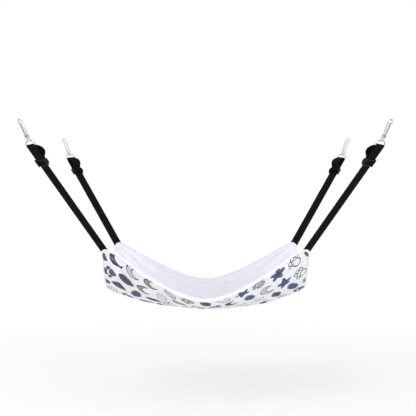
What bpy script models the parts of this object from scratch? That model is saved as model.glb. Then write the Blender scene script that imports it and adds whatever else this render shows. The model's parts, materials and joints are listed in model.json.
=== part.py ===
# Cat hammock: a padded two-sided mat that hangs by its corners from four webbing straps,
# each with a slider and a swivel snap hook. Metres, +Z up, X along the mat, Y across it.
# The origin is midway between the four hooks' bearing faces, so the mat hangs below zero.

import math

import bmesh
import bpy
from mathutils import Matrix, Vector

# Mat, laid flat
mat_length = 0.580
mat_width = 0.480
corner_clip = 0.026
cover_thickness = 0.0012
wadding_thickness = 0.0050
liner_thickness = 0.0040
seam_gap = 0.0003
layer_gap = 0.0003
rim_roll = 0.010
rim_line_shares = (0, 0.2, 0.55, 1)
mouth_share = 0.25

# Mat, as it hangs: heights below the hooks' bearing faces
hung_length = 0.513
corner_drop = 0.2925
long_edge_drop = 0.4205
short_edge_drop = 0.4120
centre_drop = 0.4516
long_edge_bend = 0.031
slack_edge_bend = 0.085
front_slack_drop = 0.4250
rear_slack_drop = 0.4080
centre_slack = 0.0050
slack_from_share = 0.60
slack_to_share = 0.88
surface_step = 0.0001

# Places of the four bearing faces
hook_spacing_x = 0.850
hook_spacing_y = 0.732

# Webbing straps
webbing_width = 0.025
webbing_thickness = 0.0016
webbing_gap = 0.0003
sewn_length = 0.024
sewn_rows = 4
lead_length = 0.012
fold_tail = 0.001
loop_length = 0.048
loop_height = 0.0185
loop_shares = (
    (0.16, 0.56),
    (0.33, 0.86),
    (0.50, 1.00),
    (0.62, 0.95),
    (0.70, 0.76),
    (0.75, 0.50),
)
sewn_throat = 0.0085
tail_end = 0.0090

# Slider
slider_length = 0.020
rail_width = 0.003
rail_gap = 0.0004
end_bar_length = 0.0035
end_bar_thickness = 0.0020
centre_bar_radius = 0.0015
rail_crown = 0.0004
rail_outline_shares = ((0.50, 0.45), (0.40, 0.62), (0.26, 0.94), (0.18, 1.00))

# Eye that the webbing is folded round
eye_wire_radius = 0.0016
eye_side_gap = 0.0005
eye_corner = 0.0030
eye_leg = 0.0040
eye_height = 0.0134
boss_radius = 0.0036
boss_height = 0.0040
hook_tilt = math.radians(13.5)

# Swivel and hook
running_gap = 0.0003
stem_radius = 0.0016
head_radius = 0.0029
head_thickness = 0.0012
collar_radius = 0.0036
collar_height = 0.0020
hook_reach = 0.0510
hook_inner_width = 0.0086
hook_wire_radius = 0.0018
land_depth = 0.00025
nose_angle = math.radians(20)
nose_tip = 0.0012
nose_taper_share = 0.85
spine_shares = ((0.12, 0.12), (0.50, 0.28), (0.76, 0.52), (0.94, 0.78))
base_overlap = 0.0004
base_top = 0.0135
ear_radius = 0.0030
ear_thickness = 0.0012

# Gate, its pin and spring
pivot_x = 0.0026
pivot_y = 0.0092
gate_boss_radius = 0.0026
gate_thickness = 0.0040
gate_root_from = math.radians(165)
gate_root_to = math.radians(385)
gate_root_width = 0.0030
gate_root_length = 0.0060
gate_inner_offset = 0.00075
gate_tip_width = 0.0020
gate_overlap = 0.0018
pin_radius = 0.0008
spring_wire_radius = 0.00025
spring_pitch = 0.00095
spring_turns = 2
spring_leg = 0.0022

# How finely round shapes are faceted, and how far cutters reach past what they cut
cut_overrun = 0.004
weld_distance = 0.00001
round_sides = 16
wire_sides_resolution = 2
smooth_angle = math.radians(35)
mat_cells_x = 12
mat_cells_y = 10
line_steps = 3
tail_steps = 2
eye_corner_steps = 3
eye_crown_steps = 6
hook_bend_steps = 20
ear_steps = 4
gate_root_steps = 10
gate_tip_steps = 4
spring_steps_in_turn = 10

half_length = mat_length / 2
half_width = mat_width / 2
wadding_notch = corner_clip / 2 + sewn_length + webbing_width / 2
fold_radius = eye_wire_radius + webbing_gap + webbing_thickness / 2
layer_pitch = webbing_thickness + webbing_gap
centre_bar_height = layer_pitch + webbing_thickness / 2 + webbing_gap + centre_bar_radius
wrap_radius = centre_bar_radius + webbing_gap + webbing_thickness / 2
land_reach = eye_height + hook_reach
hook_inner_radius = hook_inner_width / 2
hook_bend_radius = hook_inner_radius + hook_wire_radius
hook_bend_y = hook_reach - land_depth - hook_inner_radius
gate_slot = gate_thickness + 2 * running_gap
base_thickness = gate_slot + 2 * ear_thickness
spring_radius = pin_radius + running_gap + spring_wire_radius

corners = {
    "front_left": (-1, -1),
    "front_right": (1, -1),
    "rear_left": (-1, 1),
    "rear_right": (1, 1),
}

for old in list(bpy.data.objects):
    bpy.data.objects.remove(old, do_unlink=True)

hammock = bpy.data.collections.new("cat_hammock")
cutters = bpy.data.collections.new("cutters")
bpy.context.scene.collection.children.link(hammock)
bpy.context.scene.collection.children.link(cutters)


def material(name, colour, roughness, metallic=0.0):
    made = bpy.data.materials.new(name)
    made.use_nodes = True
    surface = made.node_tree.nodes["Principled BSDF"]
    surface.inputs["Base Color"].default_value = (*colour, 1)
    surface.inputs["Roughness"].default_value = roughness
    surface.inputs["Metallic"].default_value = metallic
    return made


printed_cotton = material("printed_cotton", (0.80, 0.82, 0.88), 0.85)
polyester_wadding = material("polyester_wadding", (0.90, 0.90, 0.90), 0.95)
plush = material("plush", (0.84, 0.84, 0.92), 0.95)
black_webbing = material("black_webbing", (0.010, 0.010, 0.011), 0.75)
black_plastic = material("black_plastic", (0.014, 0.014, 0.015), 0.40)
nickel = material("nickel", (0.72, 0.72, 0.74), 0.22, 1.0)
spring_steel = material("spring_steel", (0.60, 0.60, 0.62), 0.30, 1.0)


# Objects and meshes


def place(name, mesh, look, parent=None, matrix=None):
    made = bpy.data.objects.new(name, mesh)
    hammock.objects.link(made)
    if not mesh.materials:
        mesh.materials.append(look)
    made.parent = parent
    if matrix is not None:
        made.matrix_local = matrix
    return made


def empty(name, matrix):
    made = bpy.data.objects.new(name, None)
    hammock.objects.link(made)
    made.matrix_local = matrix
    return made


def baked(source):
    # The evaluated mesh of an object, welded, after which the object goes.
    bpy.context.view_layer.update()
    seen = source.evaluated_get(bpy.context.evaluated_depsgraph_get())
    mesh = bpy.data.meshes.new_from_object(seen)
    mesh.transform(source.matrix_world)
    bpy.data.objects.remove(source, do_unlink=True)
    shape = bmesh.new()
    shape.from_mesh(mesh)
    bmesh.ops.remove_doubles(shape, verts=shape.verts, dist=weld_distance)
    bmesh.ops.recalc_face_normals(shape, faces=shape.faces)
    shape.to_mesh(mesh)
    shape.free()
    return mesh


def smooth(mesh):
    mesh.shade_smooth()
    mesh.set_sharp_from_angle(angle=smooth_angle)
    return mesh


def cutter(mesh):
    made = bpy.data.objects.new("cutter", mesh)
    cutters.objects.link(made)
    made.hide_render = True
    made.display_type = "WIRE"
    return made


def combined(mesh, steps):
    # Joins or cuts one mesh with others, each step being an operation and a mesh.
    base = cutter(mesh)
    tools = []
    for operation, tool_mesh in steps:
        tool = cutter(tool_mesh)
        step = base.modifiers.new(operation.lower(), "BOOLEAN")
        step.operation = operation
        step.solver = "EXACT"
        step.object = tool
        tools.append(tool)
    result = baked(base)
    for tool in tools:
        bpy.data.objects.remove(tool, do_unlink=True)
    return result


def cylinder(radius, low, high, axis, centre=(0, 0, 0)):
    # A closed cylinder between two heights along an axis.
    shape = bmesh.new()
    bmesh.ops.create_cone(
        shape,
        cap_ends=True,
        segments=round_sides,
        radius1=radius,
        radius2=radius,
        depth=high - low,
        matrix=Matrix.Translation((0, 0, (low + high) / 2)),
    )
    turn = Vector((0, 0, 1)).rotation_difference(Vector(axis)).to_matrix().to_4x4()
    bmesh.ops.transform(shape, matrix=Matrix.Translation(centre) @ turn, verts=shape.verts)
    mesh = bpy.data.meshes.new("cylinder")
    shape.to_mesh(mesh)
    shape.free()
    return mesh


def block(low, high):
    # A box between two corners.
    size = Vector(high) - Vector(low)
    centre = (Vector(high) + Vector(low)) / 2
    shape = bmesh.new()
    bmesh.ops.create_cube(
        shape, size=1, matrix=Matrix.Translation(centre) @ Matrix.Diagonal((*size, 1))
    )
    mesh = bpy.data.meshes.new("block")
    shape.to_mesh(mesh)
    shape.free()
    return mesh


def wire(points, radius, cyclic=False, tapers=None, resolution=wire_sides_resolution):
    # A round wire along a line of points, as a closed mesh.
    curve = bpy.data.curves.new("wire", "CURVE")
    curve.dimensions = "3D"
    curve.bevel_depth = radius
    curve.bevel_resolution = resolution
    curve.use_fill_caps = True
    line = curve.splines.new("POLY")
    line.points.add(len(points) - 1)
    for index, (target, point) in enumerate(zip(line.points, points)):
        target.co = (*point, 1)
        target.radius = tapers[index] if tapers else 1
    line.use_cyclic_u = cyclic
    made = bpy.data.objects.new("wire", curve)
    cutters.objects.link(made)
    return baked(made)


def plate(outline, thickness):
    # A flat outline in the XY plane, given a thickness about it.
    curve = bpy.data.curves.new("outline", "CURVE")
    curve.dimensions = "2D"
    curve.fill_mode = "BOTH"
    curve.extrude = thickness / 2
    line = curve.splines.new("POLY")
    line.points.add(len(outline) - 1)
    for target, point in zip(line.points, outline):
        target.co = (point[0], point[1], 0, 1)
    line.use_cyclic_u = True
    made = bpy.data.objects.new("outline", curve)
    cutters.objects.link(made)
    return baked(made)


def turned(profile):
    # A solid of revolution about Y from (radius, height) points, top to bottom on its outer side.
    mesh = bpy.data.meshes.new("profile")
    points = [(radius, 0, height) for radius, height in profile]
    mesh.from_pydata(points, [(i, i + 1) for i in range(len(points) - 1)], [])
    made = bpy.data.objects.new("profile", mesh)
    cutters.objects.link(made)
    screw = made.modifiers.new("turn", "SCREW")
    screw.steps = round_sides
    screw.render_steps = round_sides
    screw.use_merge_vertices = True
    screw.merge_threshold = weld_distance
    made.matrix_world = Matrix.Rotation(math.radians(-90), 4, "X")
    return baked(made)


def sheet_mesh(name, rows, upward=True):
    # An open surface through rows of points, each as long as the others. A missing place is None.
    # The cells are split along lines that mirror each other about the middle of the grid.
    points = []
    places = {}
    faces = []
    for i, row in enumerate(rows):
        for j, point in enumerate(row):
            if point is not None:
                places[i, j] = len(points)
                points.append(point)
    for i in range(len(rows) - 1):
        for j in range(len(rows[0]) - 1):
            cell = [(i, j), (i + 1, j), (i + 1, j + 1), (i, j + 1)]
            if not all(at in places for at in cell):
                continue
            a, b, c, d = (places[at] for at in cell)
            same_side = (2 * i + 2 - len(rows)) * (2 * j + 2 - len(rows[0])) > 0
            halves = [(a, b, c), (a, c, d)] if same_side else [(a, b, d), (b, c, d)]
            faces += halves if upward else [half[::-1] for half in halves]
    mesh = bpy.data.meshes.new(name)
    mesh.from_pydata(points, [], faces)
    return mesh


def thicken(made, thickness, offset):
    solid = made.modifiers.new("thickness", "SOLIDIFY")
    solid.thickness = thickness
    solid.offset = offset
    solid.use_even_offset = True
    return made


def arc(centre, radius, start, end, steps):
    # Points along an arc in a plane, from one angle to another.
    angles = [start + (end - start) * i / steps for i in range(steps + 1)]
    return [(centre[0] + radius * math.cos(a), centre[1] + radius * math.sin(a)) for a in angles]


def smooth_line(points, steps):
    # A line through the given points, with rounded turns between them.
    padded = [points[0], *points, points[-1]]
    line = []
    for a, b, c, d in zip(padded, padded[1:], padded[2:], padded[3:]):
        for i in range(steps):
            t = i / steps
            line.append(
                tuple(
                    q + t * (r - p) / 2 + t * t * (p - 2.5 * q + 2 * r - s / 2)
                    + t * t * t * (1.5 * (q - r) + (s - p) / 2)
                    for p, q, r, s in zip(a, b, c, d)
                )
            )
    return line + [points[-1]]


# The mat


def clipped(x, y):
    # A flat place, drawn in towards the middle where it would lie past a clipped corner.
    near_x = max(0, 1 - (half_length - abs(x)) / corner_clip)
    near_y = max(0, 1 - (half_width - abs(y)) / corner_clip)
    pull = near_x * near_y * corner_clip / 2
    return math.copysign(abs(x) - pull, x), math.copysign(abs(y) - pull, y)


def edge_height(along, drop, bend_length):
    # A long edge runs down from the corners in a rounded V.
    bend = bend_length / (hung_length / 2)
    vee = (math.hypot(along, bend) - bend) / (math.hypot(1, bend) - bend)
    return -drop + (drop - corner_drop) * vee


def slackness(along):
    # 1 over the loose middle of the mat, 0 near the corners, where the straps draw it tight.
    share = (slack_to_share - abs(along)) / (slack_to_share - slack_from_share)
    share = min(1, max(0, share))
    return share * share * (3 - 2 * share)


def hung_point(x, y):
    # Where a flat place lies on the middle of the hanging mat. Each cross section sags between
    # the long edges, of which the front one hangs lower.
    along = x / half_length
    across = y / half_width
    slack = slackness(along)
    slack_drop = front_slack_drop if y < 0 else rear_slack_drop
    edge_z = (1 - slack) * edge_height(along, long_edge_drop, long_edge_bend)
    edge_z += slack * edge_height(along, slack_drop, slack_edge_bend)
    middle_z = -centre_drop + (centre_drop - short_edge_drop) * along * along
    middle_z -= slack * centre_slack
    rise = edge_z - middle_z
    drawn_in = 2 * rise * rise / (3 * half_width)
    return Vector(
        (
            along * hung_length / 2,
            across * (half_width - drawn_in),
            middle_z + rise * across * across,
        )
    )


def hung_slopes(x, y):
    # How the hanging place moves for a small step along the flat length and across it.
    here = hung_point(x, y)
    along = (hung_point(x + surface_step, y) - here) / surface_step
    across = (hung_point(x, y + surface_step) - here) / surface_step
    return along, across


def hung_normal(x, y):
    along, across = hung_slopes(x, y)
    return along.cross(across).normalized()


def half_spacing(x, y):
    # Half the space between the cover and the liner: closed at the seam, open where a strap goes in.
    near_x = max(0, 1 - (half_length - abs(x)) / corner_clip)
    near_y = max(0, 1 - (half_width - abs(y)) / corner_clip)
    mouth = min(1, near_x / mouth_share, near_y / mouth_share)
    strap_room = webbing_thickness / 2 + 2 * layer_gap
    rim = seam_gap / 2 + mouth * (strap_room - seam_gap / 2)
    full = wadding_thickness / 2 + layer_gap
    inward = min(half_length - abs(x), half_width - abs(y)) / rim_roll
    roll = 1 if inward >= 1 else math.sqrt(1 - (1 - inward) ** 2)
    return rim + (full - rim) * roll


def grid_lines(half, cells):
    # Places along one flat direction, closer together at the rim.
    distances = [share * rim_roll for share in rim_line_shares]
    distances.append(rim_roll + corner_clip / 2)
    distances.append(rim_roll + wadding_notch)
    inner = half - distances[-1]
    middle = [inner * (2 * i / cells - 1) for i in range(1, cells)]
    outer = [half - distance for distance in distances]
    return [-place for place in outer] + middle + outer[::-1]


def mat_layer(name, look, side, thickness):
    # One face of the mat: side is 1 for the upper face and -1 for the lower one.
    rows = []
    for x in grid_lines(half_length, mat_cells_x):
        row = []
        for y in grid_lines(half_width, mat_cells_y):
            at = clipped(x, y)
            row.append(hung_point(*at) + side * half_spacing(x, y) * hung_normal(*at))
        rows.append(row)
    mesh = smooth(sheet_mesh(name, rows, side > 0))
    return thicken(place(name, mesh, look), thickness, 1)


def wadding_layer():
    # The filling stops short of the seam, and is cut back at each corner for the sewn webbing.
    rim_lines = len(rim_line_shares) - 1
    rows = []
    for x in grid_lines(half_length, mat_cells_x)[rim_lines:-rim_lines]:
        row = []
        for y in grid_lines(half_width, mat_cells_y)[rim_lines:-rim_lines]:
            notch_x = half_length - abs(x) < wadding_notch
            notch_y = half_width - abs(y) < wadding_notch
            row.append(None if notch_x and notch_y else hung_point(x, y))
        rows.append(row)
    mesh = smooth(sheet_mesh("wadding", rows))
    return thicken(place("wadding", mesh, polyester_wadding), wadding_thickness, 0)


printed_cover = mat_layer("printed_cover", printed_cotton, -1, cover_thickness)
wadding = wadding_layer()
plush_liner = mat_layer("plush_liner", plush, 1, liner_thickness)


# The straps


def strap_frame():
    # At the corner with positive X and Y: where the webbing leaves the mat, the bar's centre,
    # and the directions along the strap and square to its flat side. The strap and the hook
    # make a triangle with the line from the mat to the bearing face.
    flat = (half_length - corner_clip / 2, half_width - corner_clip / 2)
    mouth = hung_point(*flat)
    bearing = Vector((hook_spacing_x / 2, hook_spacing_y / 2, 0))
    line = bearing - mouth
    straight = line.normalized()
    normal = hung_normal(*flat)
    square = (normal - normal.dot(straight) * straight).normalized()
    rise = fold_radius + land_reach * math.sin(hook_tilt)
    run = math.sqrt(line.length_squared - rise * rise)
    along = (run * straight - rise * square) / line.length
    up = (rise * straight + run * square) / line.length
    bar = bearing - land_reach * (math.cos(hook_tilt) * along + math.sin(hook_tilt) * up)
    return flat, mouth, bar, along, up


mouth_flat, strap_mouth, bar_centre, strap_along, strap_up = strap_frame()


def mirrored(vector, signs):
    return Vector((vector[0] * signs[0], vector[1] * signs[1], vector[2]))


def corner_matrix(signs):
    # The bar's frame: X along the bar, Y up the strap, Z square to its flat side.
    along = mirrored(strap_along, signs)
    up = mirrored(strap_up, signs)
    matrix = Matrix((along.cross(up), along, up)).transposed().to_4x4()
    matrix.translation = mirrored(bar_centre, signs)
    return matrix


def strap_rows():
    # Rows of three points: inside the mat they follow its middle surface, then run straight.
    slope_x, slope_y = hung_slopes(*mouth_flat)
    normal = hung_normal(*mouth_flat)
    across = strap_along.cross(normal)
    inward_x = slope_y.cross(normal).dot(strap_along) / slope_y.cross(normal).dot(slope_x)
    inward_y = slope_x.cross(normal).dot(strap_along) / slope_x.cross(normal).dot(slope_y)
    inward = Vector((inward_x, inward_y)).normalized()
    sideways = Vector((inward.y, -inward.x))
    if (sideways.x * slope_x + sideways.y * slope_y).dot(across) < 0:
        sideways = -sideways
    rows = []
    for i in range(sewn_rows + 1):
        back = sewn_length * (1 - i / sewn_rows)
        row = []
        for side in (-1, 0, 1):
            flat = Vector(mouth_flat) - back * inward + side * sideways * webbing_width / 2
            row.append(hung_point(*flat))
        rows.append(row)
    bar_foot = bar_centre - fold_radius * strap_up
    strap_length = (bar_foot - strap_mouth).length - fold_tail - webbing_gap
    width_way = strap_along.cross(strap_up) * webbing_width / 2
    for reach in (lead_length, strap_length):
        middle = strap_mouth + reach * strap_along
        rows.append([middle + side * width_way for side in (-1, 0, 1)])
    return rows


def strap(name, signs):
    rows = [[mirrored(point, signs) for point in row] for row in strap_rows()]
    mesh = smooth(sheet_mesh(name, rows))
    return thicken(place(name, mesh, black_webbing), webbing_thickness, 0)


def ribbon(name, line):
    # A band of webbing in the bar's frame, along a line of (up the strap, off its flat side) points.
    half = webbing_width / 2
    rows = [[(-half, y, z), (half, y, z)] for y, z in line]
    made = bpy.data.objects.new(name, sheet_mesh(name, rows))
    cutters.objects.link(made)
    return smooth(baked(thicken(made, webbing_thickness, 0)))


def fold_mesh():
    # The webbing's turn round the eye's bar, with a short straight end on either side.
    turn = arc((0, 0), fold_radius, math.radians(-90), math.radians(90), round_sides // 2)
    ends = ((-fold_tail, -fold_radius), (-fold_tail, fold_radius))
    return ribbon("strap_fold", [ends[0], *turn, ends[1]])


def return_mesh():
    # The webbing's way back from the fold: a slack loop, then round the slider's centre bar,
    # with its end sewn under itself. Heights are taken from the middle of the main layer.
    bar_y = -loop_length
    upper_end = bar_y + sewn_throat
    tail_z = centre_bar_height - centre_bar_radius / 2
    slack = [(-y * loop_length, z * loop_height) for y, z in loop_shares]
    start = (-fold_tail - webbing_gap, 2 * fold_radius)
    lead = (start[0] - fold_tail, start[1])
    loop = [start, *smooth_line([lead, *slack, (upper_end, tail_z + layer_pitch)], line_steps)]
    wrap_centre = (bar_y, centre_bar_height)
    wrap = arc(wrap_centre, wrap_radius, math.radians(90), math.radians(270), round_sides // 2)
    tail_middle = (bar_y + tail_end / 2, centre_bar_height - wrap_radius + webbing_gap)
    tail = smooth_line([wrap[-1], tail_middle, (bar_y + tail_end, tail_z)], tail_steps)
    line = [*loop, *wrap, *tail[1:]]
    return ribbon("strap_return", [(y, z - fold_radius) for y, z in line])


# The slider


def slider_mesh():
    # Two side rails with two end bars under the main layer and a round centre bar over it.
    # Its Z is zero at the middle of the main layer.
    rail_inner = webbing_width / 2 + rail_gap
    low = -(webbing_thickness / 2 + webbing_gap + end_bar_thickness)
    high = centre_bar_height + centre_bar_radius + rail_crown
    right = [(y * slider_length, low + z * (high - low)) for y, z in rail_outline_shares]
    left = [(-y, z) for y, z in reversed(right)]
    outline = [(slider_length / 2, low), *right, *left, (-slider_length / 2, low)]
    turn = Matrix(((0, 0, 1, 0), (1, 0, 0, 0), (0, 1, 0, 0), (0, 0, 0, 1)))
    rails = []
    for side in (-1, 1):
        rail = plate(outline, rail_width)
        rail.transform(Matrix.Translation((side * (rail_inner + rail_width / 2), 0, 0)) @ turn)
        rails.append(rail)
    reach = rail_inner + rail_width / 2
    steps = [("UNION", rails[1])]
    bar = cylinder(centre_bar_radius, -reach, reach, (1, 0, 0), (0, 0, centre_bar_height))
    steps.append(("UNION", bar))
    inset = (slider_length - end_bar_length) / 2 - rail_crown
    for side in (-1, 1):
        near = (-reach, side * inset - end_bar_length / 2, low + rail_crown / 2)
        far = (reach, side * inset + end_bar_length / 2, low + end_bar_thickness)
        steps.append(("UNION", block(near, far)))
    return smooth(combined(rails[0], steps))


# The eye


def eye_mesh():
    # A D of round wire whose straight bar lies on X, with a bored boss at its top.
    leg_x = webbing_width / 2 + eye_side_gap + eye_wire_radius
    corner_centre = (leg_x - eye_corner, eye_corner)
    corner = arc(corner_centre, eye_corner, math.radians(-90), 0, eye_corner_steps)
    crown_shares = arc((0, 0), 1, 0, math.radians(90), eye_crown_steps)
    crown = [(leg_x * x, eye_leg + (eye_height - eye_leg) * y) for x, y in crown_shares]
    right = corner + crown
    left = [(-x, y) for x, y in reversed(right[:-1])]
    body = wire([(x, y, 0) for x, y in right + left], eye_wire_radius, cyclic=True)
    low = eye_height - boss_height / 2
    high = eye_height + boss_height / 2
    boss = cylinder(boss_radius, low, high, (0, 1, 0))
    bore = cylinder(
        stem_radius + running_gap, low - cut_overrun, high + cut_overrun, (0, 1, 0)
    )
    return smooth(combined(body, [("UNION", boss), ("DIFFERENCE", bore)]))


# The hook, in a frame whose origin is the middle of the eye's boss and whose Y is the swivel axis


def swivel_profile():
    # The peened head, the stem through the boss, and the collar above it.
    low = -boss_height / 2 - running_gap
    high = boss_height / 2 + running_gap
    return [
        (0, high + collar_height),
        (collar_radius, high + collar_height),
        (collar_radius, high),
        (stem_radius, high),
        (stem_radius, low),
        (head_radius, low),
        (head_radius, low - head_thickness / 2),
        (stem_radius, low - head_thickness),
        (0, low - head_thickness),
    ]


def hook_line():
    # The centre line of the hook's round bar: up the spine, over the top and down to the nose.
    spine = [(-x * hook_bend_radius, y * hook_bend_y) for x, y in spine_shares]
    bend = arc((0, hook_bend_y), hook_bend_radius, math.pi, -nose_angle, hook_bend_steps)
    # The land lies at the top of the bend, so one facet spans it.
    tip_x, tip_y = bend[-1]
    return smooth_line([*spine, bend[0]], line_steps)[:-1] + bend + [(tip_x, tip_y - nose_tip)]


def base_outline():
    # The cast base between the collar and the spine, with ears round the gate's pivot.
    low = boss_height / 2 + running_gap + collar_height - base_overlap
    ear = arc((pivot_x, pivot_y), ear_radius, 0, math.radians(90), ear_steps)
    spine_x = -hook_bend_radius * spine_shares[1][0]
    return [
        (-collar_radius, low),
        (collar_radius, low),
        *ear,
        (spine_x / 2, base_top),
        (spine_x - hook_wire_radius, base_top),
        (spine_x - hook_wire_radius, pivot_y),
    ]


def hook_mesh():
    line = hook_line()
    tapers = [1] * (len(line) - 3) + [(1 + nose_taper_share) / 2] + [nose_taper_share] * 2
    bar = wire([(x, y, 0) for x, y in line], hook_wire_radius, tapers=tapers)
    base = plate(base_outline(), base_thickness)
    room = gate_boss_radius + running_gap
    slot = block(
        (pivot_x - room, pivot_y - room, -gate_slot / 2),
        (pivot_x + room + cut_overrun, pivot_y + room + cut_overrun, gate_slot / 2),
    )
    hole_reach = base_thickness / 2 + cut_overrun
    hole = cylinder(
        pin_radius + running_gap, -hole_reach, hole_reach, (0, 0, 1), (pivot_x, pivot_y, 0)
    )
    land_low = hook_bend_y + hook_inner_radius - cut_overrun
    land = block(
        (-hook_inner_radius / 2, land_low, -hook_wire_radius),
        (hook_inner_radius / 2, hook_reach, hook_wire_radius),
    )
    steps = [
        ("UNION", turned(swivel_profile())),
        ("UNION", base),
        ("DIFFERENCE", slot),
        ("DIFFERENCE", hole),
        ("DIFFERENCE", land),
    ]
    return smooth(combined(bar, steps))


# The gate, its pin and its spring, in a frame whose origin is the gate's pivot


def gate_mesh():
    # A lever on a round root, hollowed on its inner side for the spring.
    nose_x, nose_y = hook_line()[-1]
    outer_x = nose_x - hook_wire_radius * nose_taper_share - running_gap - pivot_x
    inner_x = outer_x - gate_tip_width
    tip_y = nose_y + gate_overlap - pivot_y
    root = arc((0, 0), gate_boss_radius, gate_root_from, gate_root_to, gate_root_steps)
    tip_radius = gate_tip_width / 2
    tip_centre = (outer_x - tip_radius, tip_y - tip_radius)
    tip = arc(tip_centre, tip_radius, 0, math.pi, gate_tip_steps)
    outline = [
        *root,
        (gate_root_width - gate_inner_offset, gate_root_length),
        *tip,
        (min(inner_x, -gate_inner_offset), gate_root_length + gate_root_width),
        (-gate_inner_offset, gate_root_length),
        (-gate_inner_offset, gate_boss_radius),
    ]
    lever = plate(outline, gate_thickness)
    coil_room = spring_radius + spring_wire_radius + running_gap
    half = spring_pitch * spring_turns / 2 + spring_wire_radius + running_gap
    recess = cylinder(coil_room, -half, half, (0, 0, 1))
    leg_side = -spring_radius + spring_wire_radius + running_gap
    reach = gate_boss_radius + running_gap
    opening = block((-reach, -reach, -half), (leg_side, reach, half))
    hole_reach = gate_thickness / 2 + cut_overrun
    hole = cylinder(pin_radius + running_gap, -hole_reach, hole_reach, (0, 0, 1))
    steps = [("DIFFERENCE", recess), ("DIFFERENCE", opening), ("DIFFERENCE", hole)]
    return smooth(combined(lever, steps))


def pin_mesh():
    return smooth(cylinder(pin_radius, -base_thickness / 2, base_thickness / 2, (0, 0, 1)))


def spring_mesh():
    # A small torsion coil round the pin, one leg down the slot's wall and one up the gate.
    steps = spring_steps_in_turn * spring_turns
    height = spring_pitch * spring_turns
    coil = []
    for i in range(steps + 1):
        angle = math.pi - math.tau * spring_turns * i / steps
        z = height * (i / steps - 1 / 2)
        coil.append((spring_radius * math.cos(angle), spring_radius * math.sin(angle), z))
    low_leg = (-spring_radius, -spring_leg, -height / 2)
    high_leg = (-spring_radius, spring_leg, height / 2)
    skipped = spring_steps_in_turn // 2 + 1
    apart = min(math.dist(a, b) for i, a in enumerate(coil) for b in coil[i + skipped :])
    gap = (apart - 2 * spring_wire_radius) * 1000
    print(f"gate spring: the least gap between its turns is {gap:.2f} mm")
    return smooth(wire([low_leg, *coil, high_leg], spring_wire_radius, resolution=1))


# Meshes that the four corners share
meshes = {
    "strap_fold": (fold_mesh(), black_webbing),
    "strap_return": (return_mesh(), black_webbing),
    "slider": (slider_mesh(), black_plastic),
    "eye": (eye_mesh(), nickel),
    "hook": (hook_mesh(), nickel),
    "gate": (gate_mesh(), nickel),
    "gate_pin": (pin_mesh(), nickel),
    "gate_spring": (spring_mesh(), spring_steel),
}


def shared(kind, corner, parent, matrix=None):
    mesh, look = meshes[kind]
    return place(f"{kind}_{corner}", mesh, look, parent, matrix)


def corner_pieces(corner, signs):
    # Everything that hangs one corner of the mat.
    strap(f"strap_{corner}", signs)
    bar = empty(f"bar_frame_{corner}", corner_matrix(signs))
    shared("strap_fold", corner, bar)
    shared("strap_return", corner, bar)
    shared("slider", corner, bar, Matrix.Translation((0, -loop_length, -fold_radius)))
    eye = shared("eye", corner, bar, Matrix.Rotation(hook_tilt, 4, "X"))
    # The gate is on the side away from the middle of the mat.
    swivel = 0 if signs[0] * signs[1] > 0 else math.pi
    boss = Matrix.Translation((0, eye_height, 0)) @ Matrix.Rotation(swivel, 4, "Y")
    hook = shared("hook", corner, eye, boss)
    pivot = Matrix.Translation((pivot_x, pivot_y, 0))
    shared("gate", corner, hook, pivot)
    shared("gate_pin", corner, hook, pivot)
    shared("gate_spring", corner, hook, pivot)


for corner, signs in corners.items():
    corner_pieces(corner, signs)
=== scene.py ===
import json
import math

import bmesh
import bpy
from mathutils import Matrix, Vector, noise
from mathutils.bvhtree import BVHTree


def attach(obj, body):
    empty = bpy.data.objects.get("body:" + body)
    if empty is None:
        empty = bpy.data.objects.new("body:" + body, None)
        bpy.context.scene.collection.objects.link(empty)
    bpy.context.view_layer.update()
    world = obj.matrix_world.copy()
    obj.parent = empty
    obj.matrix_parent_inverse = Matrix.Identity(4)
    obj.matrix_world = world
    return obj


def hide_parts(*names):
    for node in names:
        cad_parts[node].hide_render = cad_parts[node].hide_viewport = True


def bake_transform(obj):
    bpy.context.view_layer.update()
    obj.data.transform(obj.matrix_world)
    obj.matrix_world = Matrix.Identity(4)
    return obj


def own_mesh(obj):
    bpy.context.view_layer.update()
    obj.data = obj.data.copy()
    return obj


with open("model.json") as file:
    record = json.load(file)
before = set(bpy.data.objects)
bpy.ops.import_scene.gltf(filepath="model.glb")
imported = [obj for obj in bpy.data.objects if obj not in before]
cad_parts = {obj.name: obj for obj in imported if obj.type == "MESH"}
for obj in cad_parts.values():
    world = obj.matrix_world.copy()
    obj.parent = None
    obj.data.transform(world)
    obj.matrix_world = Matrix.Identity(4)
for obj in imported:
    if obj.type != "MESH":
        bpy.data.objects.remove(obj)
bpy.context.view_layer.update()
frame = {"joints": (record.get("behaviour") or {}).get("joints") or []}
jointNamed = {joint["name"]: joint for joint in frame["joints"]}

# Cat hammock: a padded mat with a print below and plush above, on four webbing straps
corners = {
    "front_left": (-1, -1),
    "front_right": (1, -1),
    "rear_left": (-1, 1),
    "rear_right": (1, 1),
}
print("frame loaded")


# Node trees

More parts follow.
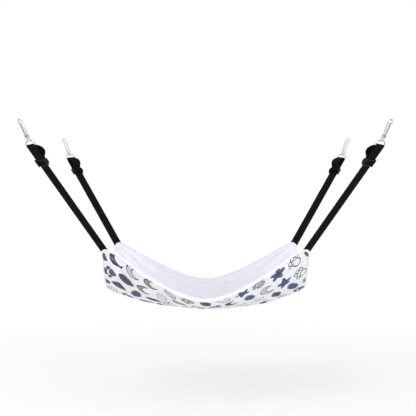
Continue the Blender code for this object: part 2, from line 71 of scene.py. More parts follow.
class Nodes:
    # Adds nodes to a tree. An input takes a plain value, a socket or a Number.
    def __init__(self, tree):
        self.tree = tree

    def put(self, value, socket):
        value = getattr(value, "socket", value)
        if isinstance(value, bpy.types.NodeSocket):
            self.tree.links.new(value, socket)
        else:
            socket.default_value = (*value, 1) if socket.type == "RGBA" else value

    def add(self, kind, inputs=None, **settings):
        made = self.tree.nodes.new(kind)
        for key, value in settings.items():
            setattr(made, key, value)
        for key, value in (inputs or {}).items():
            self.put(value, made.inputs[key])
        return made

    def flat(self, place):
        # The X and Y of a place
        split = self.add("ShaderNodeSeparateXYZ", {0: place})
        return [Number(self, socket) for socket in split.outputs[:2]]

    def place(self):
        return self.add("ShaderNodeTexCoord").outputs["Object"]

    def stored(self, name):
        # The place that an attribute of the piece holds
        return self.add("ShaderNodeAttribute", attribute_name=name).outputs["Vector"]

    def noise(self, place, scale, detail=2.0, roughness=0.5, stretch=None):
        if stretch:
            place = self.add("ShaderNodeMapping", {"Vector": place, "Scale": stretch}).outputs[0]
        made = self.add("ShaderNodeTexNoise", {
            "Vector": place, "Scale": scale, "Detail": detail, "Roughness": roughness})
        return Number(self, made.outputs["Fac"])

    def spread(self, value, low, high, fromLow=0.3, fromHigh=0.7):
        made = self.add("ShaderNodeMapRange", {
            "Value": value, "From Min": fromLow, "From Max": fromHigh, "To Min": low, "To Max": high})
        return Number(self, made.outputs["Result"])

    def mix(self, share, first, second):
        return self.add("ShaderNodeMix", {0: share, 6: first, 7: second}, data_type="RGBA").outputs[2]


def mathNode(operation):
    return lambda number, *others: number.math(operation, *others)


class Number:
    # A number in a tree, so that Math nodes are written as plain sums
    __add__ = __radd__ = mathNode("ADD")
    __sub__ = mathNode("SUBTRACT")
    __mul__ = mathNode("MULTIPLY")
    __truediv__ = mathNode("DIVIDE")
    __pow__ = mathNode("POWER")
    __mod__ = mathNode("FLOORED_MODULO")
    __lt__ = mathNode("LESS_THAN")
    __gt__ = mathNode("GREATER_THAN")
    __abs__ = mathNode("ABSOLUTE")

    def __init__(self, nodes, socket):
        self.nodes = nodes
        self.socket = socket

    def math(self, operation, *others):
        made = self.nodes.add("ShaderNodeMath", dict(enumerate((self, *others))), operation=operation)
        return Number(self.nodes, made.outputs[0])


class Look(Nodes):
    # A material, with its surface shader
    def __init__(self, name, colour, roughness, metallic=0.0):
        self.material = bpy.data.materials.new(name)
        self.material.use_nodes = True
        super().__init__(self.material.node_tree)
        self.surface = self.tree.nodes["Principled BSDF"]
        self.shade({"Base Color": colour, "Roughness": roughness, "Metallic": metallic})

    def shade(self, values):
        for name, value in values.items():
            self.put(value, self.surface.inputs[name])

    def bump(self, height, distance):
        made = self.add("ShaderNodeBump", {"Height": height, "Distance": distance, "Strength": 1.0})
        self.shade({"Normal": made.outputs[0]})


# Printed cotton: rows of small drawn motifs, each turned and coloured by chance

printLook = {
    "cell": 0.049,
    "shift": 0.10,
    "size": 0.455,
    "line": 0.105,
    "filledShare": 0.64,
    "navyShare": 0.34,
    "sandFrom": 0.57,
    "cloth": (0.93, 0.93, 0.975),
    "clothShade": (0.895, 0.895, 0.95),
    "ink": (0.008, 0.009, 0.022),
    "navy": (0.012, 0.042, 0.19),
    "slate": (0.060, 0.070, 0.125),
    "sand": (0.42, 0.40, 0.32),
    "seed": 4.0,
    "wear": 260,
    "cloud": 34,
    "crease": 60,
    "weave": 0.0006,
    "relief": 0.00016,
}


def spot(a, b, x, y, radius):
    # How far a place lies outside a round spot
    return ((a - x) ** 2 + (b - y) ** 2).math("SQRT") - radius


def drawn(edge, line):
    # The line drawn along a motif's edge, and the motif's inside
    return abs(edge) < line / 2, edge < 0


def leafMotif(a, b, line):
    side = abs(b)
    outline, inside = drawn(spot(a, side, 0, -0.74, 1.26), line)
    slanted = ((a + side) * 4.2).math("FRACT") < 0.25
    veins = (side < line / 2).math("MAXIMUM", slanted)
    return outline.math("MAXIMUM", veins * inside), inside


def pawMotif(a, b, line):
    side = abs(a)
    edge = spot(side * 0.82, b, 0, -0.30, 0.42)
    for x, y, radius in ((0.64, 0.18, 0.19), (0.25, 0.58, 0.21)):
        edge = edge.math("MINIMUM", spot(side, b, x, y, radius))
    return drawn(edge, line)


def flowerMotif(a, b, line):
    petals = (b.math("ARCTAN2", a) * 5).math("COSINE") * 0.20 + 0.66
    outline, inside = drawn(spot(a, b, 0, 0, petals), line)
    eye = abs(spot(a, b, 0, 0, 0.22)) < line / 2
    return outline.math("MAXIMUM", eye), inside


def dottedMotif(a, b, line):
    edge = spot(a, b * 1.5, 0, 0, 0.92)
    inside = edge < -0.10
    dots = spot((a * 3.4).math("FRACT"), (b * 3.4).math("FRACT"), 0.5, 0.5, 0.24) < 0
    return (abs(edge) < line / 2).math("MAXIMUM", dots * inside), inside


def moonMotif(a, b, line):
    bite = spot(a, b, 0.46, 0.12, 0.66) * -1
    outline, inside = drawn(spot(a, b, 0, 0, 0.86).math("MAXIMUM", bite), line)
    hatch = ((a + b) * 4.5).math("FRACT") < 0.35
    return outline.math("MAXIMUM", hatch * inside), inside


def motifGrid(look, x, y):
    # Each cell's chance value, and the place in the frame of the cell's own shifted and turned motif
    down = y / printLook["cell"]
    row = down.math("FLOOR")
    over = x / printLook["cell"] + row % 2 * 0.5
    where = look.add("ShaderNodeCombineXYZ", {0: over.math("FLOOR"), 1: row, 2: printLook["seed"]})
    chance = look.add("ShaderNodeTexWhiteNoise", {"Vector": where.outputs[0]}, noise_dimensions="3D")
    turn, *shifts = [
        Number(look, socket)
        for socket in look.add("ShaderNodeSeparateColor", {0: chance.outputs["Color"]}).outputs
    ]
    local = []
    for along, shift in zip((over, down), shifts):
        moved = (along.math("FRACT") - 0.5) + (shift - 0.5) * printLook["shift"]
        local.append(moved / printLook["size"])
    angle = turn * math.tau
    cosine, sine = angle.math("COSINE"), angle.math("SINE")
    a = local[0] * cosine + local[1] * sine
    b = local[1] * cosine - local[0] * sine
    return Number(look, chance.outputs["Value"]), a, b


def printedCotton():
    look = Look("printedCotton", printLook["cloth"], 0.85)
    place = look.stored("flatPlace")
    x, y = look.flat(place)
    chance, a, b = motifGrid(look, x, y)
    motifs = [leafMotif, pawMotif, flowerMotif, dottedMotif, moonMotif]
    kind = (chance * len(motifs)).math("FLOOR")
    ink, fill = 0, 0
    for index, motif in enumerate(motifs):
        motifInk, motifFill = motif(a, b, printLook["line"])
        chosen = kind.math("COMPARE", index, 0.1)
        ink += motifInk * chosen
        fill += motifFill * chosen
    tone = (chance * 37.0).math("FRACT")
    isFilled = tone < printLook["filledShare"]
    isSand = (tone > printLook["sandFrom"]) * isFilled
    dark = look.mix(tone < printLook["navyShare"], printLook["slate"], printLook["navy"])
    filling = look.mix(isSand, dark, printLook["sand"])
    worn = look.spread(look.noise(place, printLook["wear"], 3), 0.86, 1.0)
    cloud = look.spread(look.noise(place, printLook["cloud"], 2), 0, 1)
    cloth = look.mix(cloud, printLook["clothShade"], printLook["cloth"])
    coloured = look.mix(fill * isFilled * worn, cloth, filling)
    inked = look.mix(ink.math("MINIMUM", 1) * worn, coloured, printLook["ink"])
    look.shade({"Base Color": inked, "Sheen Weight": 0.05})
    turns = math.tau / printLook["weave"]
    weave = (x * turns).math("SINE") * (y * turns).math("SINE")
    look.bump(weave + look.noise(place, printLook["crease"], 4) * 3, printLook["relief"])
    return look.material


# Plush: short pile that lies in soft patches

plushLook = {
    "light": (0.87, 0.87, 0.95),
    "shade": (0.79, 0.79, 0.91),
    "clump": 420,
    "lie": 24,
    "relief": 0.0016,
}


def plush():
    look = Look("plush", plushLook["light"], 0.95)
    place = look.stored("flatPlace")
    lie = look.noise(place, plushLook["lie"], 3, 0.55, (1, 1.8, 1))
    clump = look.noise(place, plushLook["clump"], 3, 0.6, (1, 1.5, 1))
    hair = look.noise(place, plushLook["clump"] * 4, 2, 0.6)
    shade = look.spread(lie * 0.55 + clump * 0.45, 0, 1, 0.38, 0.62)
    look.shade({
        "Base Color": look.mix(shade, plushLook["shade"], plushLook["light"]),
        "Roughness": look.spread(clump, 1.0, 0.85), "Sheen Weight": 0.35, "Sheen Roughness": 0.5})
    look.bump(clump + hair * 0.35, plushLook["relief"])
    return look.material


waddingLook = {"dark": (0.84, 0.84, 0.85), "light": (0.93, 0.93, 0.93), "fibre": 300, "relief": 0.001}


def waddingFibre():
    look = Look("waddingFibre", (0.9, 0.9, 0.9), 0.95)
    fibre = look.noise(look.place(), waddingLook["fibre"], 4, 0.7)
    look.shade({"Base Color": look.mix(fibre, waddingLook["dark"], waddingLook["light"])})
    look.bump(fibre, waddingLook["relief"])
    return look.material


# Black webbing: warp yarns between the ribs that the mesh holds, with painted shade between the yarns

webbingLook = {
    # dark is the painted shade between the yarns, light the lighter colour painted on their crowns
    "dark": (0.0020, 0.0020, 0.0023),
    "light": (0.0072, 0.0072, 0.0080),
    "specular": 0.07,
    "yarn": 0.0009,
    "rib": 0.00125,
    "fuzz": 2600,
    "dust": 90,
    "relief": 0.00025,
}


def blackWebbing():
    look = Look("blackWebbing", webbingLook["light"], 0.7)
    place = look.stored("strapPlace")
    x, y = look.flat(place)
    row = (y / webbingLook["rib"]).math("FLOOR")
    across = (x / webbingLook["yarn"] + row % 2 * 0.5).math("FRACT")
    yarn = (across * math.pi).math("SINE")
    fuzz = look.noise(place, webbingLook["fuzz"], 3, 0.6, (1, 0.35, 1))
    # Painted shade: the colour is darker in the grooves between warp yarns and lighter on their crowns, with
    # a random dust tone over it
    shade = yarn * look.spread(look.noise(place, webbingLook["dust"], 3, 0.6), 0.6, 1.0)
    look.shade({
        "Base Color": look.mix(shade, webbingLook["dark"], webbingLook["light"]),
        "Roughness": look.spread(fuzz, 0.60, 0.85), "Specular IOR Level": webbingLook["specular"]})
    look.bump(yarn + fuzz * 0.6, webbingLook["relief"])
    return look.material


plasticLook = {
    "dark": (0.0040, 0.0040, 0.0044),
    "light": (0.0105, 0.0105, 0.0112),
    "specular": 0.18,
    "rubbed": 210,
    "grain": 3800,
    "relief": 0.00006,
}
metalLook = {"dull": 0.86, "handled": 130, "fine": 2200, "relief": 0.000006}
threadLook = {"dark": 0.8, "twist": 3200, "relief": 0.0001}


def blackPlastic():
    look = Look("blackPlastic", plasticLook["dark"], 0.42)
    place = look.place()
    rubbed = look.noise(place, plasticLook["rubbed"], 4, 0.65, (1, 1, 2.5))
    worn = look.spread(rubbed, 0, 1, 0.5, 0.8)
    look.shade({
        "Base Color": look.mix(worn, plasticLook["dark"], plasticLook["light"]),
        "Roughness": look.spread(rubbed, 0.36, 0.56), "Specular IOR Level": plasticLook["specular"]})
    look.bump(look.noise(place, plasticLook["grain"], 2, 0.6), plasticLook["relief"])
    return look.material


def nickel(name, colour, low, high):
    look = Look(name, colour, low, 1.0)
    place = look.place()
    handled = look.noise(place, metalLook["handled"], 4, 0.6)
    dull = tuple(channel * metalLook["dull"] for channel in colour)
    look.shade({
        "Base Color": look.mix(look.spread(handled, 0, 1), dull, colour),
        "Roughness": look.spread(handled, low, high)})
    look.bump(look.noise(place, metalLook["fine"], 2, 0.5, (1, 0.25, 1)), metalLook["relief"])
    return look.material


def thread(name, colour):
    look = Look(name, colour, 0.7)
    twist = look.noise(look.place(), threadLook["twist"], 2, 0.5)
    dark = tuple(channel * threadLook["dark"] for channel in colour)
    look.shade({"Base Color": look.mix(twist, dark, colour)})
    look.bump(twist, threadLook["relief"])
    return look.material


# Each look, with the name of its slot in the record beside it
looks = {
    "print": (printedCotton(), "printed_cotton"),
    "plush": (plush(), "plush"),
    "wadding": (waddingFibre(), "polyester_wadding"),
    "webbing": (blackWebbing(), "black_webbing"),
    "plastic": (blackPlastic(), "black_plastic"),
    "nickel": (nickel("nickelPlate", (0.74, 0.73, 0.72), 0.14, 0.30), "nickel"),
    "spring": (nickel("springWire", (0.58, 0.58, 0.60), 0.25, 0.40), "spring_steel"),
    "whiteThread": (thread("whiteThread", (0.84, 0.84, 0.90)), "printed_cotton"),
    "blackThread": (thread("blackThread", (0.02, 0.02, 0.022)), "black_webbing"),
}
print("materials made")


# Meshes

weldDistance = 0.00001
smoothOnce = ("SUBSURF", {"levels": 1, "render_levels": 1})


def addObject(name, data):
    made = bpy.data.objects.new(name, data)
    bpy.context.scene.collection.objects.link(made)
    return made


def addPiece(name, mesh, look, body=None, node=None):
    # A finished piece. One without a body is attached to none.
    material, slot = looks[look]
    mesh.materials.clear()
    mesh.materials.append(material)
    piece = addObject(name, mesh)
    if body:
        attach(piece, body)
    if node:
        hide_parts(node)
    return piece


def newMesh(name, points, edges, cells):
    mesh = bpy.data.meshes.new(name)
    mesh.from_pydata(points, edges, cells)
    return mesh


def settled(source):
    # The evaluated shape as a plain mesh, after which the working object goes
    bpy.context.view_layer.update()
    graph = bpy.context.evaluated_depsgraph_get()
    mesh = bpy.data.meshes.new_from_object(
        source.evaluated_get(graph), preserve_all_data_layers=True, depsgraph=graph
    )
    bpy.data.objects.remove(source, do_unlink=True)
    return mesh


def modified(mesh, *modifiers):
    made = addObject("modified", mesh)
    for kind, settings in modifiers:
        modifier = made.modifiers.new(kind.lower(), kind)
        for key, value in settings.items():
            setattr(modifier, key, value)
    return settled(made)


def wallOf(thickness, offset):
    return "SOLIDIFY", {"thickness": thickness, "offset": offset}


def rounded(mesh, width, segments):
    return modified(mesh, ("BEVEL", {
        "width": width, "segments": segments, "limit_method": "ANGLE", "angle_limit": math.radians(30)}))


def softShaded(mesh, angle):
    mesh.shade_smooth()
    mesh.set_sharp_from_angle(angle=math.radians(angle))
    return mesh


def fromShape(shape, mesh=None):
    mesh = mesh or bpy.data.meshes.new("solid")
    shape.to_mesh(mesh)
    shape.free()
    return mesh


def joined(meshes):
    shape = bmesh.new()
    for mesh in meshes:
        shape.from_mesh(mesh)
    return fromShape(shape)


def welded(mesh):
    shape = bmesh.new()
    shape.from_mesh(mesh)
    bmesh.ops.remove_doubles(shape, verts=shape.verts, dist=weldDistance)
    bmesh.ops.recalc_face_normals(shape, faces=shape.faces)
    return fromShape(shape, mesh)


def crossRod(radius, reach, height):
    # A round rod along X
    shape = bmesh.new()
    matrix = Matrix.Translation((0, 0, height)) @ Matrix.Rotation(math.radians(90), 4, "Y")
    bmesh.ops.create_cone(
        shape, cap_ends=True, segments=28, radius1=radius, radius2=radius, depth=2 * reach, matrix=matrix
    )
    return fromShape(shape)


def block(low, high):
    low, high = Vector(low), Vector(high)
    shape = bmesh.new()
    matrix = Matrix.Translation((low + high) / 2) @ Matrix.Diagonal((*(high - low), 1))
    bmesh.ops.create_cube(shape, size=1, matrix=matrix)
    return fromShape(shape)


def curveMesh(points, cyclic, tapers=None, **settings):
    curve = bpy.data.curves.new("line", "CURVE")
    for key, value in settings.items():
        setattr(curve, key, value)
    line = curve.splines.new("POLY")
    line.points.add(len(points) - 1)
    for index, (target, point) in enumerate(zip(line.points, points)):
        target.co = (*point, 1)
        target.radius = tapers[index] if tapers else 1
    line.use_cyclic_u = cyclic
    return welded(settled(addObject("line", curve)))


def wire(points, radius, cyclic=False, tapers=None, resolution=5):
    return curveMesh(
        points, cyclic, tapers,
        dimensions="3D", bevel_depth=radius, bevel_resolution=resolution, use_fill_caps=True,
    )


def plate(outline, thickness):
    flat = [(x, y, 0) for x, y in outline]
    return curveMesh(flat, True, dimensions="2D", fill_mode="BOTH", extrude=thickness / 2)


def turned(profile, steps=32):
    # A turned solid about Y from (radius, height) points, top to bottom on its outer side
    edges = [(i, i + 1) for i in range(len(profile) - 1)]
    mesh = modified(newMesh("profile", [(r, 0, h) for r, h in profile], edges, []), ("SCREW", {
        "steps": steps, "render_steps": steps, "use_merge_vertices": True, "merge_threshold": weldDistance}))
    mesh.transform(Matrix.Rotation(math.radians(-90), 4, "X"))
    return welded(mesh)


def arc(centre, radius, start, end, steps):
    # Points round part of a circle, between two angles in degrees
    angles = [math.radians(start + (end - start) * i / steps) for i in range(steps + 1)]
    return [(centre[0] + radius * math.cos(a), centre[1] + radius * math.sin(a)) for a in angles]


def smoothLine(points, steps):
    padded = [points[0], *points, points[-1]]
    line = []
    for a, b, c, d in zip(padded, padded[1:], padded[2:], padded[3:]):
        for i in range(steps):
            t = i / steps
            line.append(tuple(
                q + t * (r - p) / 2 + t * t * (p - 2.5 * q + 2 * r - s / 2)
                + t * t * t * (1.5 * (q - r) + (s - p) / 2)
                for p, q, r, s in zip(a, b, c, d)
            ))
    return line + [points[-1]]


def smoothStep(value):
    value = min(1, max(0, value))
    return value * value * (3 - 2 * value)


# Geometry Nodes trees

def newTree(name, inputs):
    nodes = Nodes(bpy.data.node_groups.new(name, "GeometryNodeTree"))
    sockets = nodes.tree.interface
    sockets.new_socket("Geometry", in_out="INPUT", socket_type="NodeSocketGeometry")
    for label, kind, value in inputs:
        socket = sockets.new_socket(label, in_out="INPUT", socket_type=kind)
        if value is not None:
            socket.default_value = value
    sockets.new_socket("Geometry", in_out="OUTPUT", socket_type="NodeSocketGeometry")
    given = nodes.add("NodeGroupInput").outputs
    line = nodes.add("GeometryNodeMeshToCurve", {"Mesh": given["Geometry"]})
    return nodes, given, line.outputs[0]


def laidAlong(nodes, line, pitch, copy, axis, pivot="AUTO"):
    # Copies along a line, a pitch apart and turned to follow it
    points = nodes.add("GeometryNodeResampleCurve", {"Curve": line, "Length": pitch}, mode="LENGTH")
    tangent = nodes.add("GeometryNodeInputTangent").outputs[0]
    turn = nodes.add("FunctionNodeAlignRotationToVector", {"Vector": tangent}, axis=axis, pivot_axis=pivot)
    return nodes.add("GeometryNodeInstanceOnPoints", {
        "Points": points.outputs[0], "Instance": copy, "Rotation": turn.outputs[0]}).outputs[0]


def closeTree(nodes, geometry, material):
    real = nodes.add("GeometryNodeRealizeInstances", {"Geometry": geometry})
    painted = nodes.add("GeometryNodeSetMaterial", {"Geometry": real.outputs[0], "Material": material})
    nodes.add("NodeGroupOutput", {0: painted.outputs[0]})
    return nodes.tree


def stitchTree():
    # Stitches along a path, each a grain of thread laid along it
    nodes, given, line = newTree("stitchRow", [
        ("Pitch", "NodeSocketFloat", 0.0035),
        ("Stitch Length", "NodeSocketFloat", 0.0026),
        ("Thread Radius", "NodeSocketFloat", 0.0003),
        ("Thread", "NodeSocketMaterial", None),
    ])
    grain = nodes.add("GeometryNodeMeshUVSphere", {"Segments": 6, "Rings": 4, "Radius": 1.0})
    radius = given["Thread Radius"]
    half = Number(nodes, given["Stitch Length"]) * 0.5
    size = nodes.add("ShaderNodeCombineXYZ", {0: radius, 1: radius, 2: half})
    stitch = nodes.add("GeometryNodeTransform", {"Geometry": grain.outputs["Mesh"], "Scale": size.outputs[0]})
    laid = laidAlong(nodes, line, given["Pitch"], stitch.outputs[0], "Z")
    return closeTree(nodes, laid, given["Thread"])


def webbingTree():
    # A band of webbing along a path in the YZ plane, with a rib of weft across it at each pitch
    nodes, given, line = newTree("webbingBand", [
        ("Width", "NodeSocketFloat", 0.025),
        ("Thickness", "NodeSocketFloat", 0.0016),
        ("Rib Pitch", "NodeSocketFloat", 0.00125),
        ("Rib Height", "NodeSocketFloat", 0.00012),
        ("Webbing", "NodeSocketMaterial", None),
    ])
    thickness, width = Number(nodes, given["Thickness"]), Number(nodes, given["Width"])
    level = nodes.add("GeometryNodeSetCurveNormal", {"Curve": line, "Normal": (1, 0, 0)}, mode="FREE")
    section = nodes.add("GeometryNodeCurvePrimitiveQuadrilateral", {"Width": width, "Height": thickness})
    eased = nodes.add("GeometryNodeFilletCurve", {
        "Curve": section.outputs[0], "Count": 2, "Radius": thickness * 0.4}, mode="POLY")
    band = nodes.add("GeometryNodeCurveToMesh", {
        "Curve": level.outputs[0], "Profile Curve": eased.outputs[0], "Fill Caps": True})
    rod = nodes.add("GeometryNodeMeshCylinder", {"Vertices": 8, "Radius": 1.0, "Depth": 1.0})
    half = thickness * 0.5
    size = nodes.add("ShaderNodeCombineXYZ", {
        0: half + given["Rib Height"], 1: Number(nodes, given["Rib Pitch"]) * 0.52, 2: width - half})
    rib = nodes.add("GeometryNodeTransform", {
        "Geometry": rod.outputs["Mesh"], "Scale": size.outputs[0], "Rotation": (0, math.radians(90), 0)})
    ribs = laidAlong(nodes, line, given["Rib Pitch"], rib.outputs[0], "Y", "X")
    both = nodes.add("GeometryNodeJoinGeometry", {0: ribs})
    nodes.put(band.outputs[0], both.inputs[0])
    return closeTree(nodes, both.outputs[0], given["Webbing"])


def grown(tree, paths, values):
    # The mesh that a tree makes from open paths, each a list of points
    points, edges = [], []
    for path in paths:
        first = len(points)
        points += [tuple(point) for point in path]
        edges += [(first + i, first + i + 1) for i in range(len(path) - 1)]
    made = addObject("path", newMesh("path", points, edges, []))
    modifier = made.modifiers.new("grow", "NODES")
    modifier.node_group = tree
    for item in tree.interface.items_tree:
        if item.in_out == "INPUT" and item.name in values:
            modifier[item.identifier] = values[item.name]
    return settled(made)


stitchRow = stitchTree()
webbingBand = webbingTree()


# The mat's hanging shape: drops are below the hooks' bearing faces

mat = {
    "length": 0.580,
    "width": 0.480,
    "cornerRound": 0.026,
    "hungLength": 0.513,
    "cornerDrop": 0.2925,
    "longEdgeDrop": 0.4205,
    "shortEdgeDrop": 0.4120,
    "centreDrop": 0.4516,
    "longEdgeBend": 0.031,
    "slackEdgeBend": 0.085,
    "frontSlackDrop": 0.4250,
    "rearSlackDrop": 0.4080,
    "centreSlack": 0.0050,
    "slackFrom": 0.60,
    "slackTo": 0.88,
    "drawnTo": 0.060,
    "drawnEase": 0.034,
}
strapSizes = {
    "width": 0.025,
    "thickness": 0.0016,
    "gap": 0.0003,
    "eyeWire": 0.0016,
    "tuck": 0.012,
    "ribPitch": 0.00125,
    "ribHeight": 0.00012,
}
halfLength = mat["length"] / 2
halfWidth = mat["width"] / 2
foldRadius = strapSizes["eyeWire"] + strapSizes["gap"] + strapSizes["thickness"] / 2


def frameAt(joint, along, up):
    # A frame at a joint, with its X and Y along two directions
    matrix = Matrix((along, up, along.cross(up))).transposed().to_4x4()
    matrix.translation = Vector(jointNamed[joint]["pos_m"])
    return matrix


def axisOf(joint):
    return Vector(jointNamed[joint]["axis"])


def barFrame(corner):
    # The eye's bar: X along it, Y up the strap, Z off the strap's flat side
    hinge = "eye_hinge_" + corner
    return frameAt(hinge, axisOf(hinge), -axisOf("strap_adjust_" + corner))


barFrames = {corner: barFrame(corner) for corner in corners}
barInverses = {corner: matrix.inverted() for corner, matrix in barFrames.items()}


def edgeHeight(along, drop, bendLength):
    # A long edge runs down from the corners in a rounded V
    bend = bendLength / (mat["hungLength"] / 2)
    vee = (math.hypot(along, bend) - bend) / (math.hypot(1, bend) - bend)
    return -drop + (drop - mat["cornerDrop"]) * vee


def hungPoint(x, y):
    # Where a flat place lies on the middle of the hanging mat, which is slack between its tight corners
    along = x / halfLength
    across = y / halfWidth
    slack = smoothStep((mat["slackTo"] - abs(along)) / (mat["slackTo"] - mat["slackFrom"]))
    slackDrop = mat["frontSlackDrop"] if y < 0 else mat["rearSlackDrop"]
    edge = (1 - slack) * edgeHeight(along, mat["longEdgeDrop"], mat["longEdgeBend"])
    edge += slack * edgeHeight(along, slackDrop, mat["slackEdgeBend"])
    middle = -mat["centreDrop"] + (mat["centreDrop"] - mat["shortEdgeDrop"]) * along * along
    middle -= slack * mat["centreSlack"]
    rise = edge - middle
    drawnIn = 2 * rise * rise / (3 * halfWidth)
    height = middle + rise * across * across
    return Vector((along * mat["hungLength"] / 2, across * (halfWidth - drawnIn), height))


def nearestCorner(x, y):
    return ("rear" if y > 0 else "front") + ("_right" if x > 0 else "_left")


def cornerDistance(x, y):
    # How far inside the nearest square corner a flat place lies, along both edges together
    return (halfLength - abs(x)) + (halfWidth - abs(y))


def cornerNearness(x, y):
    # 1 where the strap comes out at the nearest corner, 0 well inside the mat
    return smoothStep((mat["drawnTo"] - cornerDistance(x, y)) / mat["drawnEase"])


def strapMouth(corner):
    # How far down the strap its end leaves the mat
    signX, signY = corners[corner]
    inset = mat["cornerRound"] / 2
    mouth = hungPoint(signX * (halfLength - inset), signY * (halfWidth - inset))
    return (barInverses[corner] @ mouth).y


mouths = {corner: strapMouth(corner) for corner in corners}


def hungPlace(x, y):
    # The hanging mat, drawn at its corners into the plane of the strap
    here = hungPoint(x, y)
    near = cornerNearness(x, y)
    if near > 0:
        matrix = barFrames[nearestCorner(x, y)]
        off = matrix.to_3x3() @ Vector((0, 0, 1))
        plane = matrix @ Vector((0, 0, -foldRadius))
        here += near * (plane - here).dot(off) * off
    return here


def hungNormal(x, y):
    step = 0.0005
    along = hungPlace(x + step, y) - hungPlace(x - step, y)
    across = hungPlace(x, y + step) - hungPlace(x, y - step)
    return along.cross(across).normalized()


# The mat's two faces

faces = {
    "upperHeight": 0.0066,
    "lowerHeight": 0.0042,
    "rim": 0.0011,
    "mouth": 0.0022,
    "roll": 0.010,
    "cornerFlat": 0.45,
    "flatTo": 0.095,
    "flatEase": 0.040,
    "stitchInset": 0.0038,
    "stitchDip": 0.0009,
    "dipWidth": 0.0013,
    "strapZone": 0.075,
    "strapBeside": 0.0042,
    "strapEase": 0.0036,
    "strapEnd": 0.006,
    "cell": 0.0085,
    "rimLines": (0, 0.0010, 0.0019, 0.0028, 0.0038, 0.0048, 0.0062, 0.0085, 0.0120),
    "cornerFrom": 0.0160,
    "cornerStep": 0.0042,
    "cornerLines": 10,
    "cellsFrom": 0.0605,
    "linerThickness": 0.0010,
    "coverThickness": 0.0006,
    "probeFrom": 0.008,
    "probeReach": 0.012,
}
folds = {
    "height": 0.0026,
    "centre": 0.075,
    "reach": 0.065,
    "rays": 13,
    "free": 0.03,
    "waveHeight": 0.0028,
    # Waves a metre along X and Y, a place in the noise, and a share of the height
    "waves": ((8, 9, 2.3, 1), (21, 19, 7.1, 0.5)),
}


def overStrap(x, y):
    # 1 where the webbing lies between the mat's faces, 0 beside it
    if cornerDistance(x, y) > faces["strapZone"]:
        return 0
    side = nearestCorner(x, y)
    here = barInverses[side] @ hungPlace(x, y)
    beside = smoothStep((strapSizes["width"] / 2 + faces["strapBeside"] - abs(here.x)) / faces["strapEase"])
    return beside * smoothStep((here.y - mouths[side] + strapSizes["tuck"]) / faces["strapEnd"] + 1)


def rimDistance(x, y):
    # How far inside the mat's rounded outline a flat place lies
    radius = mat["cornerRound"]
    pastX = abs(x) - (halfLength - radius)
    pastY = abs(y) - (halfWidth - radius)
    if pastX > 0 and pastY > 0:
        return radius - math.hypot(pastX, pastY)
    return min(halfLength - abs(x), halfWidth - abs(y))


def roundCorner(x, y):
    # A place of the square grid, moved so that the grid's corners become round
    radius = mat["cornerRound"]
    pastX = (abs(x) - (halfLength - radius)) / radius
    pastY = (abs(y) - (halfWidth - radius)) / radius
    if pastX <= 0 or pastY <= 0:
        return x, y
    movedX = halfLength - radius + radius * pastX * math.sqrt(1 - pastY * pastY / 2)
    movedY = halfWidth - radius + radius * pastY * math.sqrt(1 - pastX * pastX / 2)
    return math.copysign(movedX, x), math.copysign(movedY, y)


def layerHeight(x, y, full):
    # How far a face of the mat stands off its middle: thin at the rim, with a dip along the seam
    inside = max(0, rimDistance(x, y))
    cornered = smoothStep((faces["flatTo"] - cornerDistance(x, y)) / faces["flatEase"])
    sewnFlat = 1 - faces["cornerFlat"] * cornered
    share = min(1, inside / faces["roll"])
    height = faces["rim"] + (full * sewnFlat - faces["rim"]) * math.sqrt(1 - (1 - share) ** 2)
    height -= faces["stitchDip"] * math.exp(-((inside - faces["stitchInset"]) / faces["dipWidth"]) ** 2)
    return height + overStrap(x, y) * (max(height, faces["mouth"]) - height)


def looseness(x, y):
    # Pulls that fan out from each strap, and slow waves between them
    away = Vector((halfLength - abs(x), halfWidth - abs(y)))
    fan = math.atan2(away.y, away.x) - math.radians(45)
    fade = math.exp(-((away.length - folds["centre"]) / folds["reach"]) ** 2)
    pull = folds["height"] * fade * math.cos(fan * folds["rays"] + (3 if x > 0 else 1))
    waves = [share * noise.noise(Vector((x * a, y * b, at))) for a, b, at, share in folds["waves"]]
    return smoothStep(rimDistance(x, y) / folds["free"]) * (pull + folds["waveHeight"] * sum(waves))


def gridLines(half):
    # Flat places along one direction, closer together over the rolled rim and by the corners
    insets = [faces["cornerFrom"] + faces["cornerStep"] * i for i in range(faces["cornerLines"])]
    outer = [half - inset for inset in (*faces["rimLines"], *insets)]
    inner = half - faces["cellsFrom"]
    count = round(2 * inner / faces["cell"])
    middle = [inner * (2 * i / count - 1) for i in range(count + 1)]
    return [-place for place in outer] + middle + outer[::-1]


def store(mesh, name, places):
    attribute = mesh.attributes.new(name, "FLOAT_VECTOR", "POINT")
    attribute.data.foreach_set("vector", [value for place in places for value in place])


def matSheet(name, side, full):
    # One face of the mat as an open sheet that remembers where it lay when flat
    points, flats, cells = [], [], []
    xs, ys = gridLines(halfLength), gridLines(halfWidth)
    for x in xs:
        for y in ys:
            flat = roundCorner(x, y)
            lift = side * layerHeight(*flat, full) + looseness(*flat)
            points.append(hungPlace(*flat) + lift * hungNormal(*flat))
            flats.append((*flat, 0))
    for i in range(len(xs) - 1):
        for j in range(len(ys) - 1):
            a = i * len(ys) + j
            cell = (a, a + len(ys), a + len(ys) + 1, a + 1)
            cells.append(cell if side > 0 else cell[::-1])
    mesh = newMesh(name, points, [], cells)
    store(mesh, "flatPlace", flats)
    return mesh


# Stuffing: the mat's two faces are blown up a little by cloth simulation

stuffing = {
    "frames": 14,
    "outward": 0.0042,
    "inward": 0.0010,
    "sideways": 0.002,
    "pinned": 0.0072,
    "pinEase": 0.012,
    "cloth": {
        "quality": 4,
        "mass": 0.2,
        "tension_stiffness": 12,
        "compression_stiffness": 9,
        "shear_stiffness": 3,
        "bending_stiffness": 0.3,
        "use_pressure": True,
        "uniform_pressure_force": 3.2,
        "shrink_min": -0.012,
        "vertex_group_mass": "seam",
    },
}


